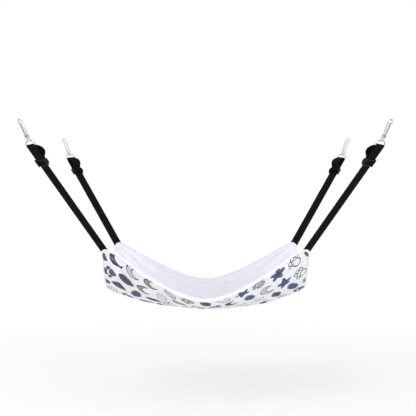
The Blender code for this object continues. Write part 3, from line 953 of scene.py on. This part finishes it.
def simulated(mesh, flats):
    # Where the cloth ends up, with its rim pinned
    made = addObject("stuffing", mesh)
    pinned = made.vertex_groups.new(name="seam")
    for index, flat in enumerate(flats):
        hold = 1 - smoothStep((rimDistance(*flat) - stuffing["pinned"]) / stuffing["pinEase"])
        if hold > 0:
            pinned.add([index], hold, "REPLACE")
    cloth = made.modifiers.new("stuffing", "CLOTH")
    for key, value in stuffing["cloth"].items():
        setattr(cloth.settings, key, value)
    cloth.settings.effector_weights.gravity = 0
    cloth.collision_settings.use_collision = False
    cloth.point_cache.frame_start = 1
    cloth.point_cache.frame_end = stuffing["frames"]
    for step in range(1, stuffing["frames"] + 1):
        bpy.context.scene.frame_set(step)
    seen = made.evaluated_get(bpy.context.evaluated_depsgraph_get())
    moved = [vertex.co.copy() for vertex in seen.data.vertices]
    made.modifiers.clear()
    bpy.context.scene.frame_set(1)
    made.vertex_groups.clear()
    bpy.data.objects.remove(made, do_unlink=True)
    return moved


def blownUp(mesh, side):
    flats = [tuple(item.vector[:2]) for item in mesh.attributes["flatPlace"].data]
    rest = [vertex.co.copy() for vertex in mesh.vertices]
    for vertex, flat, start, end in zip(mesh.vertices, flats, rest, simulated(mesh, flats)):
        normal = hungNormal(*flat) * side
        step = end - start
        out = step.dot(normal)
        kept = min(stuffing["outward"], max(-stuffing["inward"], out))
        slide = step - out * normal
        if slide.length > stuffing["sideways"]:
            slide *= stuffing["sideways"] / slide.length
        vertex.co = start + kept * normal + slide
    return mesh


def finishedSheet(name, side, full, look, thickness, node):
    mesh = matSheet(name, side, full)
    mesh = blownUp(mesh, side)
    final = softShaded(modified(mesh, smoothOnce, wallOf(thickness, -1)), 60)
    return addPiece(name, final, look, "mat", node)


def surfaceTree(piece):
    mesh = piece.data
    mesh.calc_loop_triangles()
    return BVHTree.FromPolygons(
        [vertex.co for vertex in mesh.vertices], [tuple(t.vertices) for t in mesh.loop_triangles]
    )


plushLiner = finishedSheet(
    "plushLiner", 1, faces["upperHeight"], "plush", faces["linerThickness"], "plush_liner")
printedCover = finishedSheet(
    "printedCover", -1, faces["lowerHeight"], "print", faces["coverThickness"], "printed_cover")
upperFace = (surfaceTree(plushLiner), 1, faces["upperHeight"])
lowerFace = (surfaceTree(printedCover), -1, faces["lowerHeight"])
print("mat faces stuffed and smoothed")


padding = {"columns": 40, "rows": 34, "rimGap": 0.012, "cornerGap": 0.085, "follow": 0.9, "thickness": 0.0034}


def waddingFill():
    # The filling inside the mat, clear of the rim and of the sewn corners
    points, places, cells = [], {}, []
    columns, rows = padding["columns"], padding["rows"]
    for i in range(columns + 1):
        for j in range(rows + 1):
            x, y = halfLength * (2 * i / columns - 1), halfWidth * (2 * j / rows - 1)
            if rimDistance(x, y) > padding["rimGap"] and cornerDistance(x, y) > padding["cornerGap"]:
                places[i, j] = len(points)
                points.append(hungPlace(x, y) + looseness(x, y) * hungNormal(x, y) * padding["follow"])
    for i in range(columns):
        for j in range(rows):
            cell = [(i, j), (i + 1, j), (i + 1, j + 1), (i, j + 1)]
            if all(at in places for at in cell):
                cells.append([places[at] for at in cell])
    mesh = modified(newMesh("waddingFill", points, [], cells), wallOf(padding["thickness"], 0), smoothOnce)
    return addPiece("waddingFill", softShaded(mesh, 60), "wadding", "mat", "wadding")


waddingFill()


# The rim: the plush is turned under the mat and sewn down

binding = {
    "step": 0.0042,
    "slitStep": 0.0008,
    "slitGap": 0.0004,
    "slitFrom": 0.9,
    "underStitch": 0.0025,
    "thickness": 0.0009,
    "placeShare": 0.004,
    # Inset from the rim, share of the rim's half thickness above its middle, and how far proud
    "columns": (
        (0.0030, 1, 0.0001), (0.0015, 1, 0.0006), (0.0001, 0.9, 0.0006), (-0.0010, 0.4, 0),
        (-0.0010, -0.4, 0), (0.0001, -0.9, 0.0006), (0.0010, -1, 0.0007), (0.0018, -1, 0.0005),
        (0.0025, -1, 0.0002), (0.0032, -1, 0.0006), (0.0037, -1, 0.0002),
    ),
}
lipHeight = (
    (strapSizes["thickness"] + binding["thickness"]) / 2 + strapSizes["ribHeight"] + strapSizes["gap"] / 2)


def spaced(start, end, step):
    # Places between two points, leaving both out
    count = max(1, round(math.dist(start, end) / step))
    return [tuple(a + (b - a) * i / count for a, b in zip(start, end)) for i in range(1, count)]


def rimPath(inset, step):
    # Flat places round the mat's outline, a given distance inside it
    radius = mat["cornerRound"] - inset
    path = []
    for signX, signY, start in ((1, 1, 0), (-1, 1, 90), (-1, -1, 180), (1, -1, 270)):
        centre = (signX * (halfLength - mat["cornerRound"]), signY * (halfWidth - mat["cornerRound"]))
        steps = max(4, round(radius * math.pi / 2 / step))
        turn = arc(centre, radius, start, start + 90, steps)
        if path:
            path += spaced(path[-1], turn[0], step)
        path += turn
    return path + spaced(path[-1], path[0], step)


def onFace(face, x, y, proud):
    # Where a finished face lies over a flat place, a little proud of it
    tree, side, full = face
    out = side * hungNormal(x, y)
    surface = hungPlace(x, y) + layerHeight(x, y, full) * out
    place = tree.ray_cast(surface + faces["probeFrom"] * out, -out, faces["probeReach"])[0]
    return (place or surface) + proud * out


def rimOutline():
    # The outline, with closer places where the straps come out
    path = rimPath(0, binding["step"])
    outline = []
    for start, end in zip(path, path[1:] + path[:1]):
        outline.append(start)
        if cornerNearness(*start) > 0:
            outline += spaced(start, end, binding["slitStep"])
    return outline


def rimSection(x, y, atMouth):
    # Places across the rim from the upper face round to the lower one, and where each lies when flat
    centreX = math.copysign(min(abs(x), halfLength - mat["cornerRound"]), x)
    centreY = math.copysign(min(abs(y), halfWidth - mat["cornerRound"]), y)
    inward = Vector((centreX - x, centreY - y)).normalized()
    points, flats = [], []
    for inset, share, proud in binding["columns"]:
        flat = Vector((x, y)) + inward * inset
        if abs(share) == 1:
            points.append(onFace(upperFace if share > 0 else lowerFace, flat.x, flat.y, proud))
        else:
            height = layerHeight(x, y, faces["upperHeight"]) * abs(share) + proud
            if atMouth:
                height = max(height, lipHeight)
            points.append(hungPlace(*flat) + math.copysign(height, share) * hungNormal(*flat))
        flats.append((flat.x, flat.y, binding["placeShare"] * share))
    return points, flats


def rimBand():
    # Plush turned over the rim and under the mat, with a slit where each strap comes out
    points, flats, cells, atMouth = [], [], [], []
    outline = rimOutline()
    for x, y in outline:
        aside = abs((barInverses[nearestCorner(x, y)] @ hungPlace(x, y)).x)
        narrow = aside < strapSizes["width"] / 2 + binding["slitGap"]
        atMouth.append(narrow and cornerNearness(x, y) > binding["slitFrom"])
        sectionPoints, sectionFlats = rimSection(x, y, atMouth[-1])
        points += sectionPoints
        flats += sectionFlats
    columns = len(binding["columns"])
    for i in range(len(outline)):
        following = (i + 1) % len(outline)
        for j in range(columns - 1):
            crosses = binding["columns"][j][1] > 0 > binding["columns"][j + 1][1]
            if crosses and (atMouth[i] or atMouth[following]):
                continue
            a, b = i * columns + j, following * columns + j
            cells.append((a, a + 1, b + 1, b))
    mesh = newMesh("rimBand", points, [], cells)
    store(mesh, "flatPlace", flats)
    mesh = welded(modified(mesh, smoothOnce, wallOf(binding["thickness"], 0)))
    return addPiece("rimBand", softShaded(mesh, 70), "plush", "mat")


rimBandPiece = rimBand()
underRim = (surfaceTree(rimBandPiece), -1, faces["lowerHeight"])

seam = {
    "pitch": 0.0036,
    "stitch": 0.0028,
    "thread": 0.00032,
    "proud": 0.0001,
    "step": 0.003,
    "boxShare": 0.8,
    "boxFrom": 0.004,
    "boxLength": 0.018,
    "boxWidth": 0.019,
    "boxSteps": 8,
}


def sewn(name, paths, sizes, look, body, matrix=Matrix()):
    # Rows of stitches, whose sizes are the pitch, a stitch's length and the thread's radius
    values = dict(zip(("Pitch", "Stitch Length", "Thread Radius"), sizes), Thread=looks[look][0])
    mesh = grown(stitchRow, paths, values)
    mesh.transform(matrix)
    return addPiece(name, softShaded(mesh, 80), look, body)


def seamStitches():
    # One row round each face, inside the rim
    paths = []
    for face, inset in ((underRim, binding["underStitch"]), (upperFace, faces["stitchInset"])):
        row = [onFace(face, x, y, seam["proud"]) for x, y in rimPath(inset, seam["step"])]
        paths.append(row + row[:1])
    sizes = (seam["pitch"], seam["stitch"], seam["thread"])
    return sewn("seamStitches", paths, sizes, "whiteThread", "mat")


def boxPaths(signX, signY):
    # A sewn box with its diagonals, over the webbing's end inside the corner
    inset = mat["cornerRound"] / 2
    start = Vector((signX * (halfLength - inset), signY * (halfWidth - inset)))
    inward = Vector((-signX, -signY)).normalized()
    sideways = Vector((inward.y, -inward.x))
    near, far, half = seam["boxFrom"], seam["boxFrom"] + seam["boxLength"], seam["boxWidth"] / 2
    ring = [(near, -half), (far, -half), (far, half), (near, half), (near, -half), (far, half)]
    paths = []
    for line in (ring, [(far, -half), (near, half)]):
        places = []
        for (a, b), (c, d) in zip(line, line[1:]):
            shares = [i / seam["boxSteps"] for i in range(seam["boxSteps"])]
            places += [(a + (c - a) * share, b + (d - b) * share) for share in shares]
        paths.append([start + along * inward + across * sideways for along, across in places + line[-1:]])
    return paths


def boxStitches():
    paths = []
    for signX, signY in corners.values():
        for flats in boxPaths(signX, signY):
            for face in (lowerFace, upperFace):
                paths.append([onFace(face, flat.x, flat.y, seam["proud"]) for flat in flats])
    sizes = (seam["pitch"] * seam["boxShare"], seam["stitch"] * seam["boxShare"], seam["thread"])
    return sewn("boxStitches", paths, sizes, "whiteThread", "mat")


matStitches = [seamStitches(), boxStitches()]
print("rim turned under and sewn")


# Straps

returnSizes = {
    "loopLength": 0.048,
    "loopHeight": 0.0185,
    "loopShares": ((0.16, 0.56), (0.33, 0.86), (0.50, 1.00), (0.62, 0.95), (0.70, 0.76), (0.75, 0.50)),
    "throat": 0.0085,
    "tail": 0.0090,
    "lead": 0.001,
    "blendFrom": 0.003,
    "rows": (0.0045, 0.0070),
    "rowInset": 0.002,
    "stitches": (0.0026, 0.0021, 0.0003),
}
sliderSizes = {
    "length": 0.020,
    "rail": 0.003,
    "railGap": 0.0004,
    "railRound": 0.0007,
    "endBar": 0.0035,
    "endThickness": 0.0020,
    "endRound": 0.0006,
    "centreRadius": 0.0015,
    "crown": 0.0004,
    "outlineShares": ((0.50, 0.45), (0.40, 0.62), (0.26, 0.94), (0.18, 1.00)),
}
layerPitch = strapSizes["thickness"] + strapSizes["gap"]
centreBarHeight = layerPitch + strapSizes["thickness"] / 2 + strapSizes["gap"] + sliderSizes["centreRadius"]
wrapRadius = sliderSizes["centreRadius"] + strapSizes["gap"] + strapSizes["thickness"] / 2


def webbing(name, path, corner, body, node):
    # Webbing along (up the strap, off its flat side) points of the bar's frame
    values = {
        "Width": strapSizes["width"], "Thickness": strapSizes["thickness"],
        "Rib Pitch": strapSizes["ribPitch"], "Rib Height": strapSizes["ribHeight"],
        "Webbing": looks["webbing"][0],
    }
    mesh = grown(webbingBand, [[(0, y, z) for y, z in path]], values)
    store(mesh, "strapPlace", [tuple(vertex.co) for vertex in mesh.vertices])
    mesh.transform(barFrames[corner])
    return addPiece(name + corner, softShaded(mesh, 50), "webbing", body, node + corner)


def returnPath():
    # From the fold: a slack loop, then round the slider's centre bar, with the end under itself
    length, lead = returnSizes["loopLength"], returnSizes["lead"]
    barY = -length
    tailZ = centreBarHeight - sliderSizes["centreRadius"] / 2
    slack = [(-y * length, z * returnSizes["loopHeight"]) for y, z in returnSizes["loopShares"]]
    start = (-lead, 2 * foldRadius)
    through = [(-2 * lead, start[1]), *slack, (barY + returnSizes["throat"], tailZ + layerPitch)]
    wrap = arc((barY, centreBarHeight), wrapRadius, 90, 270, 12)
    under = (barY + returnSizes["tail"] / 2, centreBarHeight - wrapRadius + strapSizes["gap"])
    tail = smoothLine([wrap[-1], under, (barY + returnSizes["tail"], tailZ)], 4)
    return [(y, z - foldRadius) for y, z in (start, *smoothLine(through, 6), *wrap, *tail[1:])]


def sliderStitches(corner):
    # Rows across the webbing where its end is sewn under itself
    half = strapSizes["width"] / 2 - returnSizes["rowInset"]
    top = centreBarHeight + wrapRadius - sliderSizes["centreRadius"] / 2 - foldRadius
    rows = [along - returnSizes["loopLength"] for along in returnSizes["rows"]]
    paths = [[(-half, y, top), (half, y, top)] for y in rows]
    name, body = "sliderStitches_" + corner, "slider_" + corner
    sewn(name, paths, returnSizes["stitches"], "blackThread", body, barFrames[corner])


def hangStrap(corner):
    mouth, lead = mouths[corner], returnSizes["lead"]
    band = [(mouth - strapSizes["tuck"], -foldRadius), (-lead, -foldRadius)]
    strap = webbing("webbing_", band, corner, "mat", "strap_")
    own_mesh(strap)
    turn = arc((0, 0), foldRadius, -90, 90, 16)
    fold = [(-lead, -foldRadius), *turn, (-lead, foldRadius)]
    webbing("webbingFold_", fold, corner, "loop_" + corner, "strap_fold_")
    back = webbing("webbingReturn_", returnPath(), corner, None, "strap_return_")
    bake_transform(back)
    sliderStitches(corner)


for corner in corners:
    hangStrap(corner)
print("straps hung")


# Sliders

def sliderMesh():
    sizes = sliderSizes
    inner = strapSizes["width"] / 2 + sizes["railGap"]
    low = -(strapSizes["thickness"] / 2 + strapSizes["gap"] + sizes["endThickness"])
    high = centreBarHeight + sizes["centreRadius"] + sizes["crown"]
    shares = smoothLine(sizes["outlineShares"], 3)
    right = [(y * sizes["length"], low + z * (high - low)) for y, z in shares]
    left = [(-y, z) for y, z in reversed(right)]
    outline = [(sizes["length"] / 2, low), *right, *left, (-sizes["length"] / 2, low)]
    turn = Matrix(((0, 0, 1, 0), (1, 0, 0, 0), (0, 1, 0, 0), (0, 0, 0, 1)))
    reach = inner + sizes["rail"] / 2
    inset = (sizes["length"] - sizes["endBar"]) / 2 - sizes["crown"]
    parts = [crossRod(sizes["centreRadius"], reach, centreBarHeight)]
    for side in (-1, 1):
        rail = rounded(plate(outline, sizes["rail"]), sizes["railRound"], 3)
        rail.transform(Matrix.Translation((side * reach, 0, 0)) @ turn)
        near = (-reach, side * inset - sizes["endBar"] / 2, low + sizes["crown"] / 2)
        far = (reach, side * inset + sizes["endBar"] / 2, low + sizes["endThickness"])
        parts += [rail, rounded(block(near, far), sizes["endRound"], 3)]
    return softShaded(joined(parts), 35)


for corner in corners:
    slider = sliderMesh()
    slider.transform(barFrames[corner] @ Matrix.Translation((0, -returnSizes["loopLength"], -foldRadius)))
    addPiece("strapSlider_" + corner, slider, "plastic", "slider_" + corner, "slider_" + corner)
print("sliders fitted")


# Eyes, snap hooks and gates

eyeSizes = {
    "wire": 0.0016,
    "sideGap": 0.0005,
    "corner": 0.0030,
    "leg": 0.0040,
    "height": 0.0134,
    "bossRadius": 0.0036,
    "bossHeight": 0.0040,
    "bossRound": 0.0005,
}
hookSizes = {
    "running": 0.0003,
    "stem": 0.0016,
    "head": 0.0029,
    "headThickness": 0.0012,
    "collar": 0.0036,
    "collarHeight": 0.0020,
    "collarRound": 0.0004,
    "reach": 0.0510,
    "innerWidth": 0.0086,
    "wire": 0.0018,
    "landDepth": 0.00025,
    "noseAngle": 20,
    "noseTip": 0.0012,
    "noseTaper": 0.85,
    "noseSteps": 6,
    "spineShares": ((0.12, 0.12), (0.50, 0.28), (0.76, 0.52), (0.94, 0.78)),
    "baseTop": 0.0135,
    "baseSink": 0.0006,
    "ear": 0.0030,
    "earThickness": 0.0012,
    "earRound": 0.0003,
}
gateSizes = {
    "pivot": (0.0026, 0.0092),
    "boss": 0.0026,
    "thickness": 0.0040,
    "rootWidth": 0.0030,
    "rootLength": 0.0060,
    "innerOffset": 0.00075,
    "tipWidth": 0.0020,
    "overlap": 0.0018,
    "pin": 0.0008,
    "pinCrown": 0.3,
    "round": 0.00035,
}
springSizes = {"wire": 0.00025, "pitch": 0.00095, "turns": 2, "leg": 0.0022}
hookBend = hookSizes["innerWidth"] / 2 + hookSizes["wire"]
hookBendY = hookSizes["reach"] - hookSizes["landDepth"] - hookSizes["innerWidth"] / 2


def eyeMesh():
    # A D of round wire on the bar's frame, leaning to the hook's line, with a bored boss
    sizes = eyeSizes
    leg = strapSizes["width"] / 2 + sizes["sideGap"] + sizes["wire"]
    turn = arc((leg - sizes["corner"], sizes["corner"]), sizes["corner"], -90, 0, 8)
    crown = arc((0, 0), 1, 0, 90, 16)
    crown = [(leg * x, sizes["leg"] + (sizes["height"] - sizes["leg"]) * y) for x, y in crown]
    right = turn + crown
    left = [(-x, y) for x, y in reversed(right[:-1])]
    body = wire([(x, y, 0) for x, y in right + left], sizes["wire"], cyclic=True)
    low, high = sizes["height"] - sizes["bossHeight"] / 2, sizes["height"] + sizes["bossHeight"] / 2
    bore, outer, ease = hookSizes["stem"] + hookSizes["running"], sizes["bossRadius"], sizes["bossRound"]
    profile = [
        (bore, high), (outer - ease, high), (outer, high - ease), (outer, low + ease), (outer - ease, low),
        (bore, low), (bore, high),
    ]
    return softShaded(joined([body, turned(profile)]), 45)


def hookLine():
    spine = [(-x * hookBend, y * hookBendY) for x, y in hookSizes["spineShares"]]
    bend = arc((0, hookBendY), hookBend, 180, -hookSizes["noseAngle"], 48)
    tipX, tipY = bend[-1]
    return smoothLine([*spine, bend[0]], 8)[:-1] + bend + [(tipX, tipY - hookSizes["noseTip"])]


def swivelMesh(low, high, top):
    # The stem through the eye's boss, with its head below and its collar above
    collar, stem, head = hookSizes["collar"], hookSizes["stem"], hookSizes["head"]
    ease, thickness = hookSizes["collarRound"], hookSizes["headThickness"]
    return turned([
        (0, top), (collar - ease, top), (collar, top - ease), (collar, high + ease), (collar - ease, high),
        (stem, high), (stem, low), (head, low), (head, low - thickness / 2), (stem, low - thickness),
        (0, low - thickness),
    ])


def hookMesh():
    sizes = hookSizes
    line = hookLine()
    steps, loss = sizes["noseSteps"], 1 - sizes["noseTaper"]
    tapers = [1] * (len(line) - steps) + [1 - loss * i / steps for i in range(1, steps + 1)]
    bar = wire([(x, y, 0) for x, y in line], sizes["wire"], tapers=tapers, resolution=6)
    high = eyeSizes["bossHeight"] / 2 + sizes["running"]
    top = high + sizes["collarHeight"]
    base = top - sizes["baseSink"]
    px, py = gateSizes["pivot"]
    spineX = -hookBend * sizes["spineShares"][1][0]
    outer = spineX - sizes["wire"]
    outline = [
        (-sizes["collar"], base), (sizes["collar"], base), *arc((px, py), sizes["ear"], 0, 90, 10),
        (spineX / 2, sizes["baseTop"]), (outer, sizes["baseTop"]), (outer, py),
    ]
    slot = gateSizes["thickness"] + 2 * sizes["running"]
    parts = [bar, swivelMesh(-high, high, top)]
    for side in (-1, 1):
        cheek = rounded(plate(outline, sizes["earThickness"]), sizes["earRound"], 2)
        cheek.transform(Matrix.Translation((0, 0, side * (slot + sizes["earThickness"]) / 2)))
        parts.append(cheek)
    room = gateSizes["boss"] + sizes["running"]
    core = [
        (-sizes["collar"], base), (px + room, base), (px + room, py - room), (px - room, py - room),
        (px - room, sizes["baseTop"]), (outer, sizes["baseTop"]), (outer, py),
    ]
    parts.append(plate(core, slot + sizes["earThickness"]))
    return softShaded(joined(parts), 40)


def gateMesh():
    sizes = gateSizes
    px, py = sizes["pivot"]
    noseX, noseY = hookLine()[-1]
    outer = noseX - hookSizes["wire"] * hookSizes["noseTaper"] - hookSizes["running"] - px
    tipY = noseY + sizes["overlap"] - py
    half, offset = sizes["tipWidth"] / 2, sizes["innerOffset"]
    outline = [
        *arc((0, 0), sizes["boss"], 165, 385, 24),
        (sizes["rootWidth"] - offset, sizes["rootLength"]),
        *arc((outer - half, tipY - half), half, 0, 180, 8),
        (min(outer - sizes["tipWidth"], -offset), sizes["rootLength"] + sizes["rootWidth"]),
        (-offset, sizes["rootLength"]),
        (-offset, sizes["boss"]),
    ]
    return softShaded(rounded(plate(outline, sizes["thickness"]), sizes["round"], 3), 35)


def pinMesh():
    half = (gateSizes["thickness"] + 2 * hookSizes["running"]) / 2 + hookSizes["earThickness"]
    dome = arc((0, 0), gateSizes["pin"], 90, 0, 6)
    head = [(x, half + y * gateSizes["pinCrown"]) for x, y in dome]
    mesh = turned(head + [(x, -y) for x, y in reversed(head)], 20)
    mesh.transform(Matrix.Rotation(math.radians(90), 4, "X"))
    return softShaded(mesh, 50)


def springMesh():
    sizes = springSizes
    radius = gateSizes["pin"] + hookSizes["running"] + sizes["wire"]
    steps = 20 * sizes["turns"]
    height = sizes["pitch"] * sizes["turns"]
    coil = []
    for i in range(steps + 1):
        angle = math.pi - math.tau * sizes["turns"] * i / steps
        coil.append((radius * math.cos(angle), radius * math.sin(angle), height * (i / steps - 0.5)))
    low = (-radius, -sizes["leg"], -height / 2)
    high = (-radius, sizes["leg"], height / 2)
    return softShaded(wire([low, *coil, high], sizes["wire"], resolution=2), 60)


def fitHook(corner):
    # The hook's frame has Y up the swivel and Z along the gate's pin
    swivel, hinge = "swivel_" + corner, "gate_hinge_" + corner
    up, pin = axisOf(swivel), axisOf(hinge)
    hookFrame = frameAt(swivel, up.cross(pin), up)
    gateFrame = frameAt(hinge, up.cross(pin), up)
    eyeFrame = frameAt("eye_hinge_" + corner, axisOf("eye_hinge_" + corner), up)
    pieces = [
        ("eyeRing_", eyeMesh(), eyeFrame, "nickel", "eye_", "eye_"),
        ("snapHook_", hookMesh(), hookFrame, "nickel", "hook_", "hook_"),
        ("snapGate_", gateMesh(), gateFrame, "nickel", "gate_", "gate_"),
        ("gatePin_", pinMesh(), gateFrame, "nickel", "hook_", "gate_pin_"),
        ("gateSpring_", springMesh(), gateFrame, "spring", "hook_", "gate_spring_"),
    ]
    for name, mesh, matrix, look, body, node in pieces:
        mesh.transform(matrix)
        addPiece(name + corner, mesh, look, body + corner, node + corner)


for corner in corners:
    fitHook(corner)
print("hooks fitted")


# Floor, light and camera

studio = {
    "floorZ": -0.70,
    "floorSize": 14,
    "nearWhite": 0.35,
    "farWhite": 1.7,
    "leastWhite": 0.35,
    "ambient": 0.84,
    "keyPower": 20,
    "keyPlace": (-1.0, -1.9, 1.1),
    "keyTarget": (0, 0, -0.25),
    "keySize": 1.6,
    "fillPower": 17,
    "fillPlace": (0.9, -2.1, -0.45),
    "fillTarget": (0, 0, -0.35),
    "fillSize": 1.4,
    "flagSize": (1.1, 1.5),
    "flagPlaces": ((-1.5, -0.7, 0.1), (1.5, -0.7, 0.1), (0.0, 1.7, 0.5)),
}
camera = {"lens": 89.8, "sensor": 36, "place": (0.006, -2.74, -0.189), "pitch": -0.28, "clipEnd": 50}


def backgroundRays(nodes):
    # 1 for rays that see the background straight, in a reflection or through glass
    path = nodes.add("ShaderNodeLightPath").outputs
    seen = Number(nodes, path["Is Camera Ray"]).math("MAXIMUM", path["Is Glossy Ray"])
    return seen.math("MAXIMUM", path["Is Transmission Ray"])


def paleFloor():
    look = Look("paleFloor", (0.95, 0.95, 0.95), 0.9)
    look.shade({"Specular IOR Level": 0.1})
    x, y = look.flat(look.place())
    away = (x ** 2 + y ** 2).math("SQRT")
    far = look.spread(away, studio["leastWhite"], 1, studio["nearWhite"], studio["farWhite"])
    white = look.add("ShaderNodeEmission")
    lit = look.add("ShaderNodeMixShader", {
        0: far * backgroundRays(look), 1: look.surface.outputs[0], 2: white.outputs[0]})
    # From below the floor is clear, so that the underside can be looked at
    clear = look.add("ShaderNodeBsdfTransparent")
    behind = look.add("ShaderNodeNewGeometry").outputs["Backfacing"]
    last = look.add("ShaderNodeMixShader", {0: behind, 1: lit.outputs[0], 2: clear.outputs[0]})
    look.put(last.outputs[0], look.tree.nodes["Material Output"].inputs["Surface"])
    return look.material


def addPanel(name, places, material):
    mesh = newMesh(name, places, [], [(0, 1, 2, 3)])
    mesh.materials.append(material)
    panel = addObject(name, mesh)
    return panel


def makeFloor():
    half, z = studio["floorSize"] / 2, studio["floorZ"]
    addPanel("floor", [(-half, -half, z), (half, -half, z), (half, half, z), (-half, half, z)], paleFloor())


def makeWorld():
    world = bpy.data.worlds.new("studio")
    bpy.context.scene.world = world
    world.use_nodes = True
    nodes = Nodes(world.node_tree)
    background = nodes.tree.nodes["Background"]
    nodes.put((1, 1, 1), background.inputs["Color"])
    nodes.put(nodes.spread(backgroundRays(nodes), studio["ambient"], 1, 0, 1), background.inputs["Strength"])


def addFlags():
    # Dark cards that only the metal sees, for contrast along its edges
    darkCard = Look("darkCard", (0.01, 0.01, 0.01), 1.0).material
    width, height = studio["flagSize"]
    up = Vector((0, 0, height / 2))
    for place in studio["flagPlaces"]:
        facing = Vector((-place[0], -place[1], 0)).normalized()
        side = Vector((-facing.y, facing.x, 0)) * width / 2
        middle = Vector(place)
        places = [middle - side - up, middle + side - up, middle + side + up, middle - side + up]
        flag = addPanel("flag", places, darkCard)
        flag.visible_camera = False
        flag.visible_diffuse = False
        flag.visible_shadow = False


def addLamp(name):
    data = bpy.data.lights.new(name, "AREA")
    data.shape = "DISK"
    data.size = studio[name + "Size"]
    data.energy = studio[name + "Power"]
    lamp = addObject(name, data)
    lamp.location = studio[name + "Place"]
    lamp.rotation_mode = "QUATERNION"
    ray = Vector(studio[name + "Target"]) - Vector(studio[name + "Place"])
    lamp.rotation_quaternion = ray.to_track_quat("-Z", "Y")


def makeCamera():
    data = bpy.data.cameras.new("camera")
    data.lens = camera["lens"]
    data.sensor_width = camera["sensor"]
    data.clip_end = camera["clipEnd"]
    made = addObject("camera", data)
    made.location = camera["place"]
    made.rotation_euler = (math.radians(90 + camera["pitch"]), 0, 0)
    bpy.context.scene.camera = made


makeFloor()
makeWorld()
addFlags()
addLamp("key")
addLamp("fill")
makeCamera()
bpy.context.scene.view_settings.view_transform = "Standard"
print("stage set")
